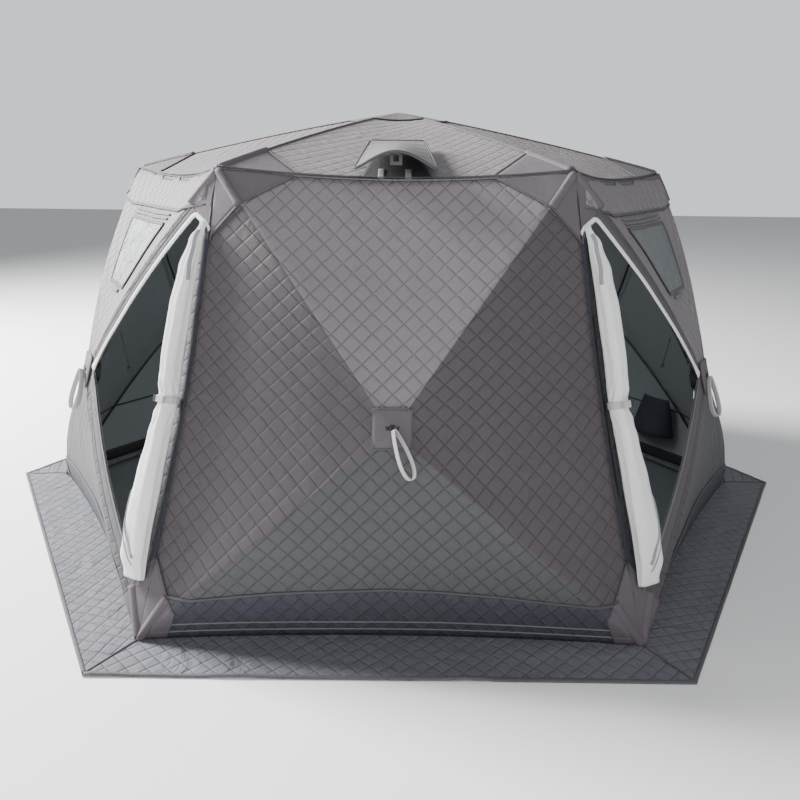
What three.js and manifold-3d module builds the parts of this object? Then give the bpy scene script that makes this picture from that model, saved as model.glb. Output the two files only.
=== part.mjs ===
// Six-sided hub-frame ice fishing shelter: quilted skins sewn over flexible rods that meet in pop-out hubs.
// Millimetres, +Z up. The origin is on the ground at the centre; the front wall faces -Y.
import * as THREE from 'three';
import { mergeVertices } from 'three/addons/utils/BufferGeometryUtils.js';
import ManifoldModule from 'manifold-3d';

// ---- driving dimensions ----
const GAP = 0.6;                 // clearance between touching pieces
const SKIN = 6;                  // quilted fabric, face, wadding and lining together
const BASE_RADIUS = 1800;        // centre line to a wall corner at the ground
const EAVE_RADIUS = 1270;        // centre line to a wall corner at the eave
const EAVE_HEIGHT = 1630;
const APEX_HEIGHT = 1895;
const HUB_REACH = 1527;          // centre line to the outside of a popped-out wall hub
const HUB_HEIGHT = 789;
const WALL_BOW = 40;             // how far a wall rod arches outwards at its middle
const ROOF_BOW = 15;
const CORNER_SAG = 38;           // how far the cloth pulls in between the corners, at each kind of seam
const EAVE_SAG = { inward: 28, down: 35 };
const BASE_SAG = 45;

const SKIRT_RADIUS = 2046;       // snow skirt that lies on the ground
const SKIRT_INNER_RADIUS = 1715;
const FLOOR_RADIUS = 1710;
const FLOOR_THICKNESS = 3;

const ROD_RADIUS = 5.5;          // solid glass-fibre rods with metal end ferrules
const FERRULE = { radius: 7, length: 70 };
const FRAME_INSET = 24;          // the rods' pivots stand this far inside the skin's corners
const FRAME_RAISE = { base: 8, eave: 16 };       // and this far above its hem, or below its eave
const ROD_START = 42;            // a rod starts this far from the pivot in its corner boot
// A hub's centre stands its depth inside the skin; a rod's end stops at the tip, short of the core.
const WALL_HUB = { radius: 50, core: 16, tip: 38, depth: 36, bossTop: 28 };
const ROOF_HUB = { radius: 64, core: 19, tip: 52, depth: 46, bossTop: 32 };
const HUB_HALF = 14;             // half the height of a hub's slotted body
const SLOT_WIDTH = 15.6;

const OPENING = { corner: 45, upper: 60, lower: 80 };   // fabric left round a door opening
const WINDOW = { top: 1420, bottom: 1150, halfTop: 300, halfBottom: 140, thickness: 2 };
const HOOD = { back: 725, front: 1112, halfBack: 108, halfFront: 148, arch: 60, peak: 1.25, thickness: 3 };
const PROP = { width: 44, strip: 12, thickness: 3, height: 42, setBack: 34 };
const LOOP = { width: 25, thickness: 1.8, length: 176, opening: 60, lean: -0.36, tilt: -0.36, turn: 0.5 };
const ROLL = { from: 0.12, to: 0.885, clear: 7 };
const STRAP = { at: 0.5, out: 36, along: 33, height: 25, thickness: 2, clear: 3 };
const BUCKLE = { width: 34, height: 24, thickness: 12, wall: 3, shift: 8, clip: 13 };
const LOW_VENT = { x: -415, half: 150, low: 165, high: 375, reach: 90, inset: 36 };

const WALL_LEVELS = 5;           // rows of cloth between a wall's edge and its hub
const WALL_COLUMNS = 4;
const ROOF_LEVELS = 4;
const ROD_STEPS = 5;
const ROLL_SIDES = 12;
const BAND_SIDES = 16;
const LOOP_SIDES = 12;
const WALLS = ['front', 'front_right', 'rear_right', 'rear', 'rear_left', 'front_left'];
const CORNERS = ['base_left', 'base_right', 'eave_right', 'eave_left'];
const RIDGES = ['front_right', 'right', 'rear_right', 'rear_left', 'left', 'front_left'];
const COLOUR = {
  skin: 0x6a6468, roof: 0xb4b0b2, skirt: 0x6c6c76, floor: 0x505358, rod: 0x141414, hub: 0x1a1a1b,
  window: 0x59616a, roll: 0xf2f2f0, webbing: 0x9a9a9c, buckle: 0x2a2a2c, zip: 0x8c8f94, vent: 0x3a3c40,
};

const wasm = await ManifoldModule();
wasm.setup();

// ---- small helpers ----
const v3 = (x, y, z) => new THREE.Vector3(x, y, z);
const along = (a, b, t) => a.clone().lerp(b, t);
const arch = (t) => 4 * t * (1 - t);
const cos30 = Math.cos(Math.PI / 6);

function positionsOnly(geometry) {
  const bare = geometry.clone();
  for (const name of Object.keys(bare.attributes)) {
    if (name !== 'position') bare.deleteAttribute(name);
  }
  return mergeVertices(bare, 1e-3);
}

function toSolid(geometry) {
  const bare = positionsOnly(geometry);
  const mesh = new wasm.Mesh({
    numProp: 3,
    vertProperties: new Float32Array(bare.attributes.position.array),
    triVerts: new Uint32Array(bare.index.array),
  });
  return new wasm.Manifold(mesh);
}

function toGeometry(solid) {
  const mesh = solid.getMesh();
  const geometry = new THREE.BufferGeometry();
  geometry.setAttribute('position', new THREE.BufferAttribute(new Float32Array(mesh.vertProperties), 3));
  geometry.setIndex(new THREE.BufferAttribute(new Uint32Array(mesh.triVerts), 1));
  return geometry;
}

function closedSurface(points, triangles) {
  const geometry = new THREE.BufferGeometry();
  const flat = points.flatMap((p) => [p.x, p.y, p.z]);
  geometry.setAttribute('position', new THREE.BufferAttribute(new Float32Array(flat), 3));
  geometry.setIndex(triangles.flat());
  return geometry;
}

// A sheet of cloth with a thickness: outer face, inner face, and a rim along every open edge.
function clothSolid(outer, inner, triangles) {
  const count = outer.length;
  const faces = triangles.map((t) => [...t]);
  for (const [a, b, c] of triangles) faces.push([a + count, c + count, b + count]);
  const edges = new Map();
  for (const [a, b, c] of triangles) {
    for (const [p, q] of [[a, b], [b, c], [c, a]]) edges.set(`${p},${q}`, [p, q]);
  }
  for (const [p, q] of edges.values()) {
    if (edges.has(`${q},${p}`)) continue;
    faces.push([q, p, p + count], [q, p + count, q + count]);
  }
  return closedSurface([...outer, ...inner], faces);
}

// A solid skinned over rings of points, with flat ends.
function loft(rings) {
  const sides = rings[0].length;
  const points = rings.flat();
  const faces = [];
  for (let ring = 0; ring + 1 < rings.length; ring += 1) {
    for (let i = 0; i < sides; i += 1) {
      const a = ring * sides + i;
      const b = ring * sides + ((i + 1) % sides);
      faces.push([a, b, b + sides], [a, b + sides, a + sides]);
    }
  }
  const last = (rings.length - 1) * sides;
  for (let i = 1; i + 1 < sides; i += 1) {
    faces.push([0, i + 1, i], [last, last + i, last + i + 1]);
  }
  return closedSurface(points, faces);
}

// A band that closes on itself both ways, from the rings along its four edges.
function closedBand(rings) {
  const sides = rings[0].length;
  const count = rings.length;
  const faces = [];
  for (let r = 0; r < count; r += 1) {
    for (let i = 0; i < sides; i += 1) {
      const a = r * sides + i;
      const b = r * sides + ((i + 1) % sides);
      const c = ((r + 1) % count) * sides + ((i + 1) % sides);
      const d = ((r + 1) % count) * sides + i;
      faces.push([a, b, c], [a, c, d]);
    }
  }
  return closedSurface(rings.flat(), faces);
}

function mirrored(geometry) {
  const copy = positionsOnly(geometry);
  copy.applyMatrix4(new THREE.Matrix4().makeScale(-1, 1, 1));
  const index = Array.from(copy.index.array);
  for (let i = 0; i < index.length; i += 3) [index[i + 1], index[i + 2]] = [index[i + 2], index[i + 1]];
  copy.setIndex(index);
  return copy;
}

function placed(geometry, origin, xAxis, zAxis) {
  const yAxis = zAxis.clone().cross(xAxis).normalize();
  const basis = new THREE.Matrix4().makeBasis(xAxis.clone().normalize(), yAxis, zAxis.clone().normalize());
  return geometry.applyMatrix4(basis.setPosition(origin));
}

function material(colour, roughness = 0.85, metalness = 0) {
  return new THREE.MeshStandardMaterial({ color: colour, roughness, metalness });
}

const shelter = new THREE.Group();

function add(parent, name, geometry, finish) {
  const mesh = new THREE.Mesh(geometry, finish);
  mesh.name = name;
  parent.add(mesh);
  return mesh;
}

// ---- one wall, in its own frame: outwards is -Y, and +X is to the right as seen from outside ----
const cornerAt = (side, radius, z) => v3(side * radius * 0.5, -radius * cos30, z);
const WALL_BOTTOM = SKIN + GAP;
const WALL_TOP = EAVE_HEIGHT - SKIN - GAP;
const SKIN_CORNERS = [
  cornerAt(-1, BASE_RADIUS, WALL_BOTTOM),
  cornerAt(1, BASE_RADIUS, WALL_BOTTOM),
  cornerAt(1, EAVE_RADIUS, WALL_TOP),
  cornerAt(-1, EAVE_RADIUS, WALL_TOP),
];
const HUB_FACE = v3(0, -HUB_REACH, HUB_HEIGHT);
const FRAME_CORNERS = [
  cornerAt(-1, BASE_RADIUS - FRAME_INSET, WALL_BOTTOM + FRAME_RAISE.base),
  cornerAt(1, BASE_RADIUS - FRAME_INSET, WALL_BOTTOM + FRAME_RAISE.base),
  cornerAt(1, EAVE_RADIUS - FRAME_INSET, WALL_TOP - FRAME_RAISE.eave),
  cornerAt(-1, EAVE_RADIUS - FRAME_INSET, WALL_TOP - FRAME_RAISE.eave),
];
// The direction in which a wall's hub pops out: square to the plane of its four corner pivots.
const POP = FRAME_CORNERS[3].clone().sub(FRAME_CORNERS[0]);
POP.set(0, -POP.z, POP.y).normalize();
const HUB_CENTRE = HUB_FACE.clone().addScaledVector(POP, -WALL_HUB.depth);
// How each edge of the wall pulls in at its middle, in the order base, right, eave, left.
const EDGE_SAGS = [
  v3(0, BASE_SAG, 0),
  v3(-CORNER_SAG * 0.5, CORNER_SAG * cos30, 0),
  v3(0, EAVE_SAG.inward, -EAVE_SAG.down),
  v3(CORNER_SAG * 0.5, CORNER_SAG * cos30, 0),
];

const onRod = (corner, share) => along(corner, HUB_FACE, share).addScaledVector(POP, WALL_BOW * arch(share));

// A point of a wall's cloth: share runs from the edge to the hub, across runs along the edge.
function onWall(edge, share, across) {
  const start = onRod(SKIN_CORNERS[edge], share);
  const end = onRod(SKIN_CORNERS[(edge + 1) % 4], share);
  const pull = arch(across) * (1 - share) ** 2;
  return along(start, end, across).addScaledVector(EDGE_SAGS[edge], pull);
}

// The cloth's inner face: straight in, with a mitre where two walls meet.
function insideOf(point, side) {
  const move = v3(-side * SKIN * Math.tan(Math.PI / 6), SKIN, 0);
  return point.clone().add(move);
}

const DOOR_EDGE = 1;             // a door is in the triangle between the right-hand edge and the hub
const doorLow = SKIN_CORNERS[1];
const doorHigh = SKIN_CORNERS[2];
const doorLine = doorHigh.clone().sub(doorLow);
const lowAngle = doorLine.angleTo(HUB_FACE.clone().sub(doorLow));
const highAngle = doorLine.clone().negate().angleTo(HUB_FACE.clone().sub(doorHigh));
const DOOR = {
  low: OPENING.lower / Math.sin(lowAngle),
  high: OPENING.upper / Math.sin(highAngle),
  start: OPENING.corner / (HUB_FACE.distanceTo(doorLow) * Math.sin(lowAngle)),
};
DOOR.end = 1 - (DOOR.low + DOOR.high + 8) / doorLine.length();

// The shares of a door row that are cloth: a strip along each rod.
function doorStrips(share) {
  const chord = doorLine.length() * (1 - share);
  return { low: DOOR.low / chord, high: 1 - DOOR.high / chord };
}

function wallSkin(hasDoor) {
  const outer = [];
  const inner = [];
  const triangles = [];
  const found = new Map();
  const vertex = (edge, share, across) => {
    const point = onWall(edge, share, across);
    const side = share === 0 ? Math.sign(point.x) * Number(edge % 2 === 1 || arch(across) === 0) : 0;
    point.x -= side * GAP * 0.6;
    const key = `${point.x.toFixed(2)},${point.y.toFixed(2)},${point.z.toFixed(2)}`;
    if (!found.has(key)) {
      found.set(key, outer.length);
      outer.push(point);
      inner.push(insideOf(point, side));
    }
    return found.get(key);
  };
  const strip = (edge, near, far, from, to) => {
    const a = vertex(edge, near, from[0]);
    const b = vertex(edge, near, to[0]);
    const c = vertex(edge, far, to[1]);
    const d = vertex(edge, far, from[1]);
    triangles.push([a, b, c]);
    if (c !== d) triangles.push([a, c, d]);
  };
  const even = Array.from({ length: WALL_LEVELS + 1 }, (_, i) => i / WALL_LEVELS);
  const rows = hasDoor ? [...even, DOOR.start, DOOR.end].sort((a, b) => a - b) : even;
  for (let edge = 0; edge < 4; edge += 1) {
    if (hasDoor && edge === DOOR_EDGE) continue;
    for (let row = 0; row + 1 < rows.length; row += 1) {
      for (let i = 0; i < WALL_COLUMNS; i += 1) {
        const from = i / WALL_COLUMNS;
        const to = (i + 1) / WALL_COLUMNS;
        strip(edge, rows[row], rows[row + 1], [from, from], [to, to]);
      }
    }
  }
  if (hasDoor) doorTriangle(strip, rows);
  return clothSolid(outer, inner, triangles);
}

// The cloth round a door: a strip up the corner seam, a strip along each rod, and the piece at the hub.
function doorTriangle(strip, rows) {
  const columns = (share) => {
    const { low, high } = doorStrips(share);
    const middle = [1, 2, 3].map((i) => low + ((high - low) * i) / 4);
    return [0, low, ...middle, high, 1];
  };
  const shares = rows.filter((s) => s >= DOOR.start && s <= DOOR.end);
  const first = columns(DOOR.start);
  for (let i = 0; i < first.length - 1; i += 1) {
    strip(DOOR_EDGE, 0, DOOR.start, [first[i], first[i]], [first[i + 1], first[i + 1]]);
  }
  for (let row = 0; row + 1 < shares.length; row += 1) {
    const near = columns(shares[row]);
    const far = columns(shares[row + 1]);
    strip(DOOR_EDGE, shares[row], shares[row + 1], [0, 0], [near[1], far[1]]);
    strip(DOOR_EDGE, shares[row], shares[row + 1], [near[5], far[5]], [1, 1]);
  }
  const tip = columns(DOOR.end);
  for (let i = 0; i < tip.length - 1; i += 1) {
    strip(DOOR_EDGE, DOOR.end, 1, [tip[i], tip[i]], [tip[i + 1], tip[i + 1]]);
  }
}

// ---- rods: an arched glass-fibre rod with a straight metal ferrule at its hub end ----
function rodGeometry(pivot, hub, bowDirection, bow, tipClear) {
  const length = pivot.distanceTo(hub);
  const at = (d) => along(pivot, hub, d / length).addScaledVector(bowDirection, bow * arch(d / length));
  const end = length - tipClear;
  const joint = end - FERRULE.length;
  const socket = joint + 2 * ROD_RADIUS;
  const path = new THREE.CatmullRomCurve3(
    Array.from({ length: ROD_STEPS + 1 }, (_, i) => at(ROD_START + ((socket - ROD_START) * i) / ROD_STEPS)),
  );
  const section = new THREE.Shape();
  section.absarc(0, 0, ROD_RADIUS, 0, 2 * Math.PI);
  const rod = new THREE.ExtrudeGeometry(section, {
    steps: ROD_STEPS, curveSegments: 4, bevelEnabled: false, extrudePath: path,
  });
  const tube = at(joint).distanceTo(at(end));
  const ferrule = new THREE.CylinderGeometry(FERRULE.radius, FERRULE.radius, tube, 8);
  const direction = at(end).sub(at(joint)).normalize();
  ferrule.applyQuaternion(new THREE.Quaternion().setFromUnitVectors(v3(0, 1, 0), direction));
  const middle = along(at(joint), at(end), 0.5);
  ferrule.translate(middle.x, middle.y, middle.z);
  return toGeometry(toSolid(rod).add(toSolid(ferrule)));
}

// ---- hubs: a slotted puck that the rods' ends fold in, with a boss that clamps the cloth ----
function hubGeometry(size, centre, popDirection, towards) {
  const puck = new THREE.CylinderGeometry(size.radius, size.radius, 2 * HUB_HALF, 20).rotateX(Math.PI / 2);
  let solid = toSolid(puck);
  for (const target of towards) {
    const local = target.clone();
    const slot = new THREE.BoxGeometry(size.radius * 2, SLOT_WIDTH, 4 * HUB_HALF);
    slot.translate(size.core + size.radius, 0, 0);
    slot.rotateZ(Math.atan2(local.y, local.x));
    solid = solid.subtract(toSolid(slot));
  }
  const boss = new THREE.LatheGeometry([
    new THREE.Vector2(0, -HUB_HALF - 4),
    new THREE.Vector2(9, -HUB_HALF - 4),
    new THREE.Vector2(9, HUB_HALF - 4),
    new THREE.Vector2(12, size.bossTop - 5),
    new THREE.Vector2(24, size.bossTop - 4),
    new THREE.Vector2(24, size.bossTop),
    new THREE.Vector2(0, size.bossTop),
  ], 12).rotateX(Math.PI / 2);
  solid = solid.add(toSolid(boss));
  return placed(toGeometry(solid), centre, v3(1, 0, 0), popDirection);
}

function wallHub() {
  const yAxis = POP.clone().cross(v3(1, 0, 0));
  const towards = FRAME_CORNERS.map((corner) => {
    const arm = corner.clone().sub(HUB_CENTRE);
    return v3(arm.x, arm.dot(yAxis), 0);
  });
  return hubGeometry(WALL_HUB, HUB_CENTRE, POP, towards);
}

WALLS.forEach((wall, number) => {
  const group = new THREE.Group();
  group.rotation.z = (number * Math.PI) / 3;
  shelter.add(group);
  const mirroredDoor = wall === 'front_right';
  const hasDoor = mirroredDoor || wall === 'front_left';
  const skin = wallSkin(hasDoor);
  add(group, `wall_${wall}`, mirroredDoor ? mirrored(skin) : skin, material(COLOUR.skin, 0.9));
  add(group, `hub_${wall}`, wallHub(), material(COLOUR.hub, 0.5));
  FRAME_CORNERS.forEach((pivot, i) => {
    const rod = rodGeometry(pivot, HUB_CENTRE, POP, WALL_BOW, WALL_HUB.tip);
    add(group, `rod_${wall}_${CORNERS[i]}`, rod, material(COLOUR.rod, 0.4));
  });
});

// ---- roof ----
const APEX = v3(0, 0, APEX_HEIGHT);
const ROOF_CENTRE = v3(0, 0, APEX_HEIGHT - ROOF_HUB.depth);
const UP = v3(0, 0, 1);

function roofSkin() {
  const outer = [];
  const triangles = [];
  const found = new Map();
  const vertex = (side, share, across) => {
    const start = along(cornerAt(-1, EAVE_RADIUS, EAVE_HEIGHT), APEX, share);
    const end = along(cornerAt(1, EAVE_RADIUS, EAVE_HEIGHT), APEX, share);
    const point = along(start, end, across).addScaledVector(UP, ROOF_BOW * arch(share));
    point.addScaledVector(EDGE_SAGS[2], arch(across) * (1 - share) ** 2);
    point.applyAxisAngle(UP, (side * Math.PI) / 3);
    const key = `${point.x.toFixed(1)},${point.y.toFixed(1)},${point.z.toFixed(1)}`.replaceAll('-0.0', '0.0');
    if (!found.has(key)) {
      found.set(key, outer.length);
      outer.push(point);
    }
    return found.get(key);
  };
  for (let side = 0; side < 6; side += 1) {
    for (let row = 0; row < ROOF_LEVELS; row += 1) {
      for (let i = 0; i < WALL_COLUMNS; i += 1) {
        const near = row / ROOF_LEVELS;
        const far = (row + 1) / ROOF_LEVELS;
        const a = vertex(side, near, i / WALL_COLUMNS);
        const b = vertex(side, near, (i + 1) / WALL_COLUMNS);
        const c = vertex(side, far, (i + 1) / WALL_COLUMNS);
        const d = vertex(side, far, i / WALL_COLUMNS);
        triangles.push([a, b, c]);
        if (c !== d) triangles.push([a, c, d]);
      }
    }
  }
  return clothSolid(outer, outer.map((p) => v3(p.x, p.y, p.z - SKIN)), triangles);
}

add(shelter, 'roof_skin', roofSkin(), material(COLOUR.roof, 0.9));
const ridgeTargets = RIDGES.map((_, i) => v3(1, 0, 0).applyAxisAngle(UP, ((i - 1) * Math.PI) / 3));
const roofHub = hubGeometry(ROOF_HUB, ROOF_CENTRE, UP, ridgeTargets);
add(shelter, 'hub_roof', roofHub, material(COLOUR.hub, 0.5));
RIDGES.forEach((ridge, i) => {
  const pivot = ridgeTargets[i].clone().multiplyScalar(EAVE_RADIUS - FRAME_INSET);
  pivot.z = EAVE_HEIGHT - FRAME_INSET;
  const rod = rodGeometry(pivot, ROOF_CENTRE, UP, ROOF_BOW, ROOF_HUB.tip);
  add(shelter, `roof_rod_${ridge}`, rod, material(COLOUR.rod, 0.4));
});

// ---- ground: snow skirt and floor mat ----
function hexagon(radius) {
  return Array.from({ length: 6 }, (_, i) => {
    const angle = (i * Math.PI) / 3;
    return new THREE.Vector2(radius * Math.cos(angle), radius * Math.sin(angle));
  });
}

const skirtOutline = new THREE.Shape(hexagon(SKIRT_RADIUS));
skirtOutline.holes.push(new THREE.Path(hexagon(SKIRT_INNER_RADIUS)));
const skirt = new THREE.ExtrudeGeometry(skirtOutline, { depth: SKIN, bevelEnabled: false });
add(shelter, 'snow_skirt', skirt, material(COLOUR.skirt, 0.9));
const floorOutline = new THREE.Shape(hexagon(FLOOR_RADIUS));
const floorMat = new THREE.ExtrudeGeometry(floorOutline, { depth: FLOOR_THICKNESS, bevelEnabled: false });
add(shelter, 'floor_mat', floorMat, material(COLOUR.floor, 0.7));

// ---- windows: a clear panel on the upper cloth of the two front side walls ----
function upperShare(z) {
  // the share towards the hub at which the middle of the upper cloth has this height
  let low = 0;
  let high = 1;
  for (let i = 0; i < 40; i += 1) {
    const middle = (low + high) / 2;
    if (onWall(2, middle, 0.5).z > z) low = middle;
    else high = middle;
  }
  return low;
}

function windowGeometry() {
  const rows = 3;
  const outer = [];
  const triangles = [];
  for (let row = 0; row <= rows; row += 1) {
    const t = row / rows;
    const share = upperShare(WINDOW.bottom + (WINDOW.top - WINDOW.bottom) * t);
    const half = WINDOW.halfBottom + (WINDOW.halfTop - WINDOW.halfBottom) * t;
    const span = EAVE_RADIUS * (1 - share);
    for (const x of [-1, 0, 1]) outer.push(onWall(2, share, 0.5 - (x * half) / span));
  }
  for (let row = 0; row < rows; row += 1) {
    for (let i = 0; i < 2; i += 1) {
      const a = row * 3 + i;
      triangles.push([a, a + 1, a + 4], [a, a + 4, a + 3]);
    }
  }
  const lift = (by) => outer.map((p) => v3(p.x, p.y - by, p.z));
  return clothSolid(lift(WINDOW.thickness + 3), lift(3), triangles);
}

// ---- door parts, in the frame of a wall whose door is on its right ----
// The seam that a door hangs from, with the cloth's inward pull at its middle.
const onSeam = (t) => along(doorLow, doorHigh, t).addScaledVector(EDGE_SAGS[1], arch(t));
const seamLine = doorLine.clone().normalize();
// Square to the cloth that borders the seam; sideways points away from the opening.
const ROLL_REACH = 0.14;
const across = onWall(DOOR_EDGE, 0, 0.5).sub(onWall(DOOR_EDGE, ROLL_REACH, 0.5));
const outwards = across.clone().cross(seamLine).normalize();
const sideways = seamLine.clone().cross(outwards).normalize();
// Half widths of the rolled door along its length, out from the wall and along it.
const ROLL_STATIONS = [
  { t: ROLL.from, out: 26, along: 58 },
  { t: 0.24, out: 40, along: 62 },
  { t: 0.4, out: 44, along: 44 },
  { t: STRAP.at - 0.03, out: 42, along: 36 },
  { t: STRAP.at - 0.012, out: STRAP.out, along: STRAP.along },
  { t: STRAP.at + 0.012, out: STRAP.out, along: STRAP.along },
  { t: STRAP.at + 0.03, out: 42, along: 36 },
  { t: 0.68, out: 42, along: 38 },
  { t: 0.8, out: 32, along: 28 },
  { t: ROLL.to, out: 12, along: 12 },
];

function rollCentre(station) {
  const centre = onSeam(station.t).addScaledVector(outwards, station.out + ROLL.clear);
  return centre.addScaledVector(sideways, -station.along - 12);
}

function ellipse(centre, out, wide, sides) {
  return Array.from({ length: sides }, (_, i) => {
    const angle = (i * 2 * Math.PI) / sides;
    const point = centre.clone().addScaledVector(sideways, wide * Math.cos(angle));
    return point.addScaledVector(outwards, out * Math.sin(angle));
  });
}

function rollGeometry() {
  return loft(ROLL_STATIONS.map((s) => ellipse(rollCentre(s), s.out, s.along, ROLL_SIDES).reverse()));
}

function bandGeometry(station, centre, bandHeight) {
  // a band of webbing round the roll, closed on itself
  const ring = (out, wide, shift) => {
    const middle = centre.clone().addScaledVector(seamLine, shift);
    return ellipse(middle, out, wide, BAND_SIDES);
  };
  const half = bandHeight / 2;
  const clear = STRAP.clear;
  const outer = clear + STRAP.thickness;
  const rings = [
    ring(station.out + clear, station.along + clear, -half),
    ring(station.out + clear, station.along + clear, half),
    ring(station.out + outer, station.along + outer, half),
    ring(station.out + outer, station.along + outer, -half),
  ];
  return closedBand(rings);
}

const strapStation = { t: STRAP.at, out: STRAP.out, along: STRAP.along };
const strapCentre = rollCentre(strapStation);
const buckleFace = strapStation.out + STRAP.clear + STRAP.thickness;

function boxAt(width, height, thickness, shift, offset) {
  // x along the wall towards the opening, y along the seam, z outwards
  const box = new THREE.BoxGeometry(width, height, thickness);
  const origin = strapCentre.clone().addScaledVector(outwards, buckleFace + offset);
  origin.addScaledVector(sideways, -shift);
  return placed(box, origin, sideways.clone().negate(), outwards);
}

function tieStrap() {
  const band = toSolid(bandGeometry(strapStation, strapCentre, STRAP.height));
  const { width, height, thickness, wall, shift } = BUCKLE;
  const socket = toSolid(boxAt(width, height, thickness, -shift, 4));
  const slot = toSolid(boxAt(width, height - 2 * wall, thickness - 2 * wall, 2 * wall - shift, 5));
  return toGeometry(band.add(socket).subtract(slot));
}

function buckleClip() {
  const { width, height, thickness, wall, shift, clip } = BUCKLE;
  const around = 2 * (wall + GAP);
  const mouth = width / 2 - shift + GAP;
  const tongue = toSolid(boxAt(width - 10, height - around, thickness - around, 0, 5));
  const body = toSolid(boxAt(clip, height, thickness - wall, mouth + clip / 2, 6));
  return toGeometry(tongue.add(body));
}

function zipSlider() {
  const share = DOOR.start + 0.02;
  const edge = onWall(DOOR_EDGE, share, doorStrips(share).low);
  const centre = edge.clone().addScaledVector(seamLine, 9);
  const body = new THREE.CylinderGeometry(6, 5, 9, 6);
  const tab = new THREE.BoxGeometry(3, 22, 6).translate(0, -14, 5);
  const solid = toSolid(body).add(toSolid(tab));
  const runUp = HUB_FACE.clone().sub(doorLow).normalize();
  const facing = v3(0, -1, 0).addScaledVector(runUp, runUp.y).normalize();
  return placed(toGeometry(solid), centre, runUp.clone().cross(facing), facing);
}

WALLS.forEach((wall, number) => {
  const side = { front_left: 'left', front_right: 'right' }[wall];
  if (!side) return;
  const group = new THREE.Group();
  group.rotation.z = (number * Math.PI) / 3;
  shelter.add(group);
  const handed = (geometry) => (side === 'right' ? mirrored(geometry) : geometry);
  add(group, `window_${side}`, handed(windowGeometry()), material(COLOUR.window, 0.3));
  add(group, `door_roll_${side}`, handed(rollGeometry()), material(COLOUR.roll, 0.9));
  add(group, `tie_strap_${side}`, handed(tieStrap()), material(COLOUR.webbing, 0.8));
  add(group, `buckle_clip_${side}`, handed(buckleClip()), material(COLOUR.buckle, 0.4));
  add(group, `zip_slider_${side}`, handed(zipSlider()), material(COLOUR.zip, 0.3, 0.9));
});

// ---- roof vent: a hood of cloth over the eave, held open by a folding prop ----
const onRoof = (y) => {
  const share = 1 + y / (EAVE_RADIUS * cos30);
  return EAVE_HEIGHT + (APEX_HEIGHT - EAVE_HEIGHT) * share + ROOF_BOW * arch(share) + 3;
};

function ventHood() {
  const rows = 4;
  const columns = 8;
  const outer = [];
  const triangles = [];
  for (let row = 0; row <= rows; row += 1) {
    const t = row / rows;
    const y = -(HOOD.back + (HOOD.front - HOOD.back) * t);
    const half = HOOD.halfBack + (HOOD.halfFront - HOOD.halfBack) * t;
    for (let i = 0; i <= columns; i += 1) {
      const across = i / columns;
      const rise = 4 + HOOD.arch * t * Math.sin(Math.PI * across) ** HOOD.peak;
      outer.push(v3(-half + 2 * half * across, y, onRoof(y) + rise));
    }
  }
  for (let row = 0; row < rows; row += 1) {
    for (let i = 0; i < columns; i += 1) {
      const a = row * (columns + 1) + i;
      const b = a + columns + 1;
      triangles.push([a, b, b + 1], [a, b + 1, a + 1]);
    }
  }
  return clothSolid(outer, outer.map((p) => v3(p.x, p.y, p.z - HOOD.thickness)), triangles);
}

function ventProp() {
  const y = -(HOOD.front - PROP.setBack);
  const outline = new THREE.Shape();
  const half = PROP.width / 2;
  outline.moveTo(-half, 0);
  outline.lineTo(half, 0);
  outline.lineTo(half, PROP.height);
  outline.lineTo(half - PROP.strip, PROP.height);
  outline.lineTo(half - PROP.strip, PROP.strip);
  outline.lineTo(PROP.strip - half, PROP.strip);
  outline.lineTo(PROP.strip - half, PROP.height);
  outline.lineTo(-half, PROP.height);
  outline.closePath();
  const frame = new THREE.ExtrudeGeometry(outline, { depth: PROP.thickness, bevelEnabled: false });
  frame.rotateX(Math.PI / 2);
  return frame.translate(0, y, onRoof(y) + 5);
}

add(shelter, 'vent_hood', ventHood(), material(COLOUR.roof, 0.9));
add(shelter, 'vent_prop', ventProp(), material(COLOUR.vent, 0.6));

// ---- pull loop of the front hub: a band of webbing that hangs from the hub's patch ----
function pullLoop() {
  const top = HUB_FACE.clone().add(v3(0, -10, 8));
  const points = [];
  for (let i = 0; i < LOOP_SIDES; i += 1) {
    const angle = (i * 2 * Math.PI) / LOOP_SIDES;
    const reach = (1 - Math.cos(angle)) / 2;
    const wide = (LOOP.opening / 2) * Math.sin(angle) * (0.35 + 0.65 * reach);
    points.push(v3(wide, 0, -LOOP.length * reach));
  }
  const ring = (scale, shift) => points.map((p, i) => {
    const along = points[(i + 1) % LOOP_SIDES].clone().sub(points[(i + LOOP_SIDES - 1) % LOOP_SIDES]);
    const outward = v3(-along.z, 0, along.x).normalize();
    const point = p.clone().addScaledVector(outward, scale).add(v3(0, shift, 0));
    point.applyAxisAngle(UP, LOOP.turn).applyAxisAngle(v3(0, 1, 0), LOOP.tilt);
    return point.applyAxisAngle(v3(1, 0, 0), LOOP.lean).add(top);
  });
  const rings = [
    ring(0, 0), ring(0, -LOOP.width), ring(LOOP.thickness, -LOOP.width), ring(LOOP.thickness, 0),
  ];
  return closedBand(rings);
}

add(shelter, 'pull_loop_front', pullLoop(), material(COLOUR.webbing, 0.8));

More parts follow.
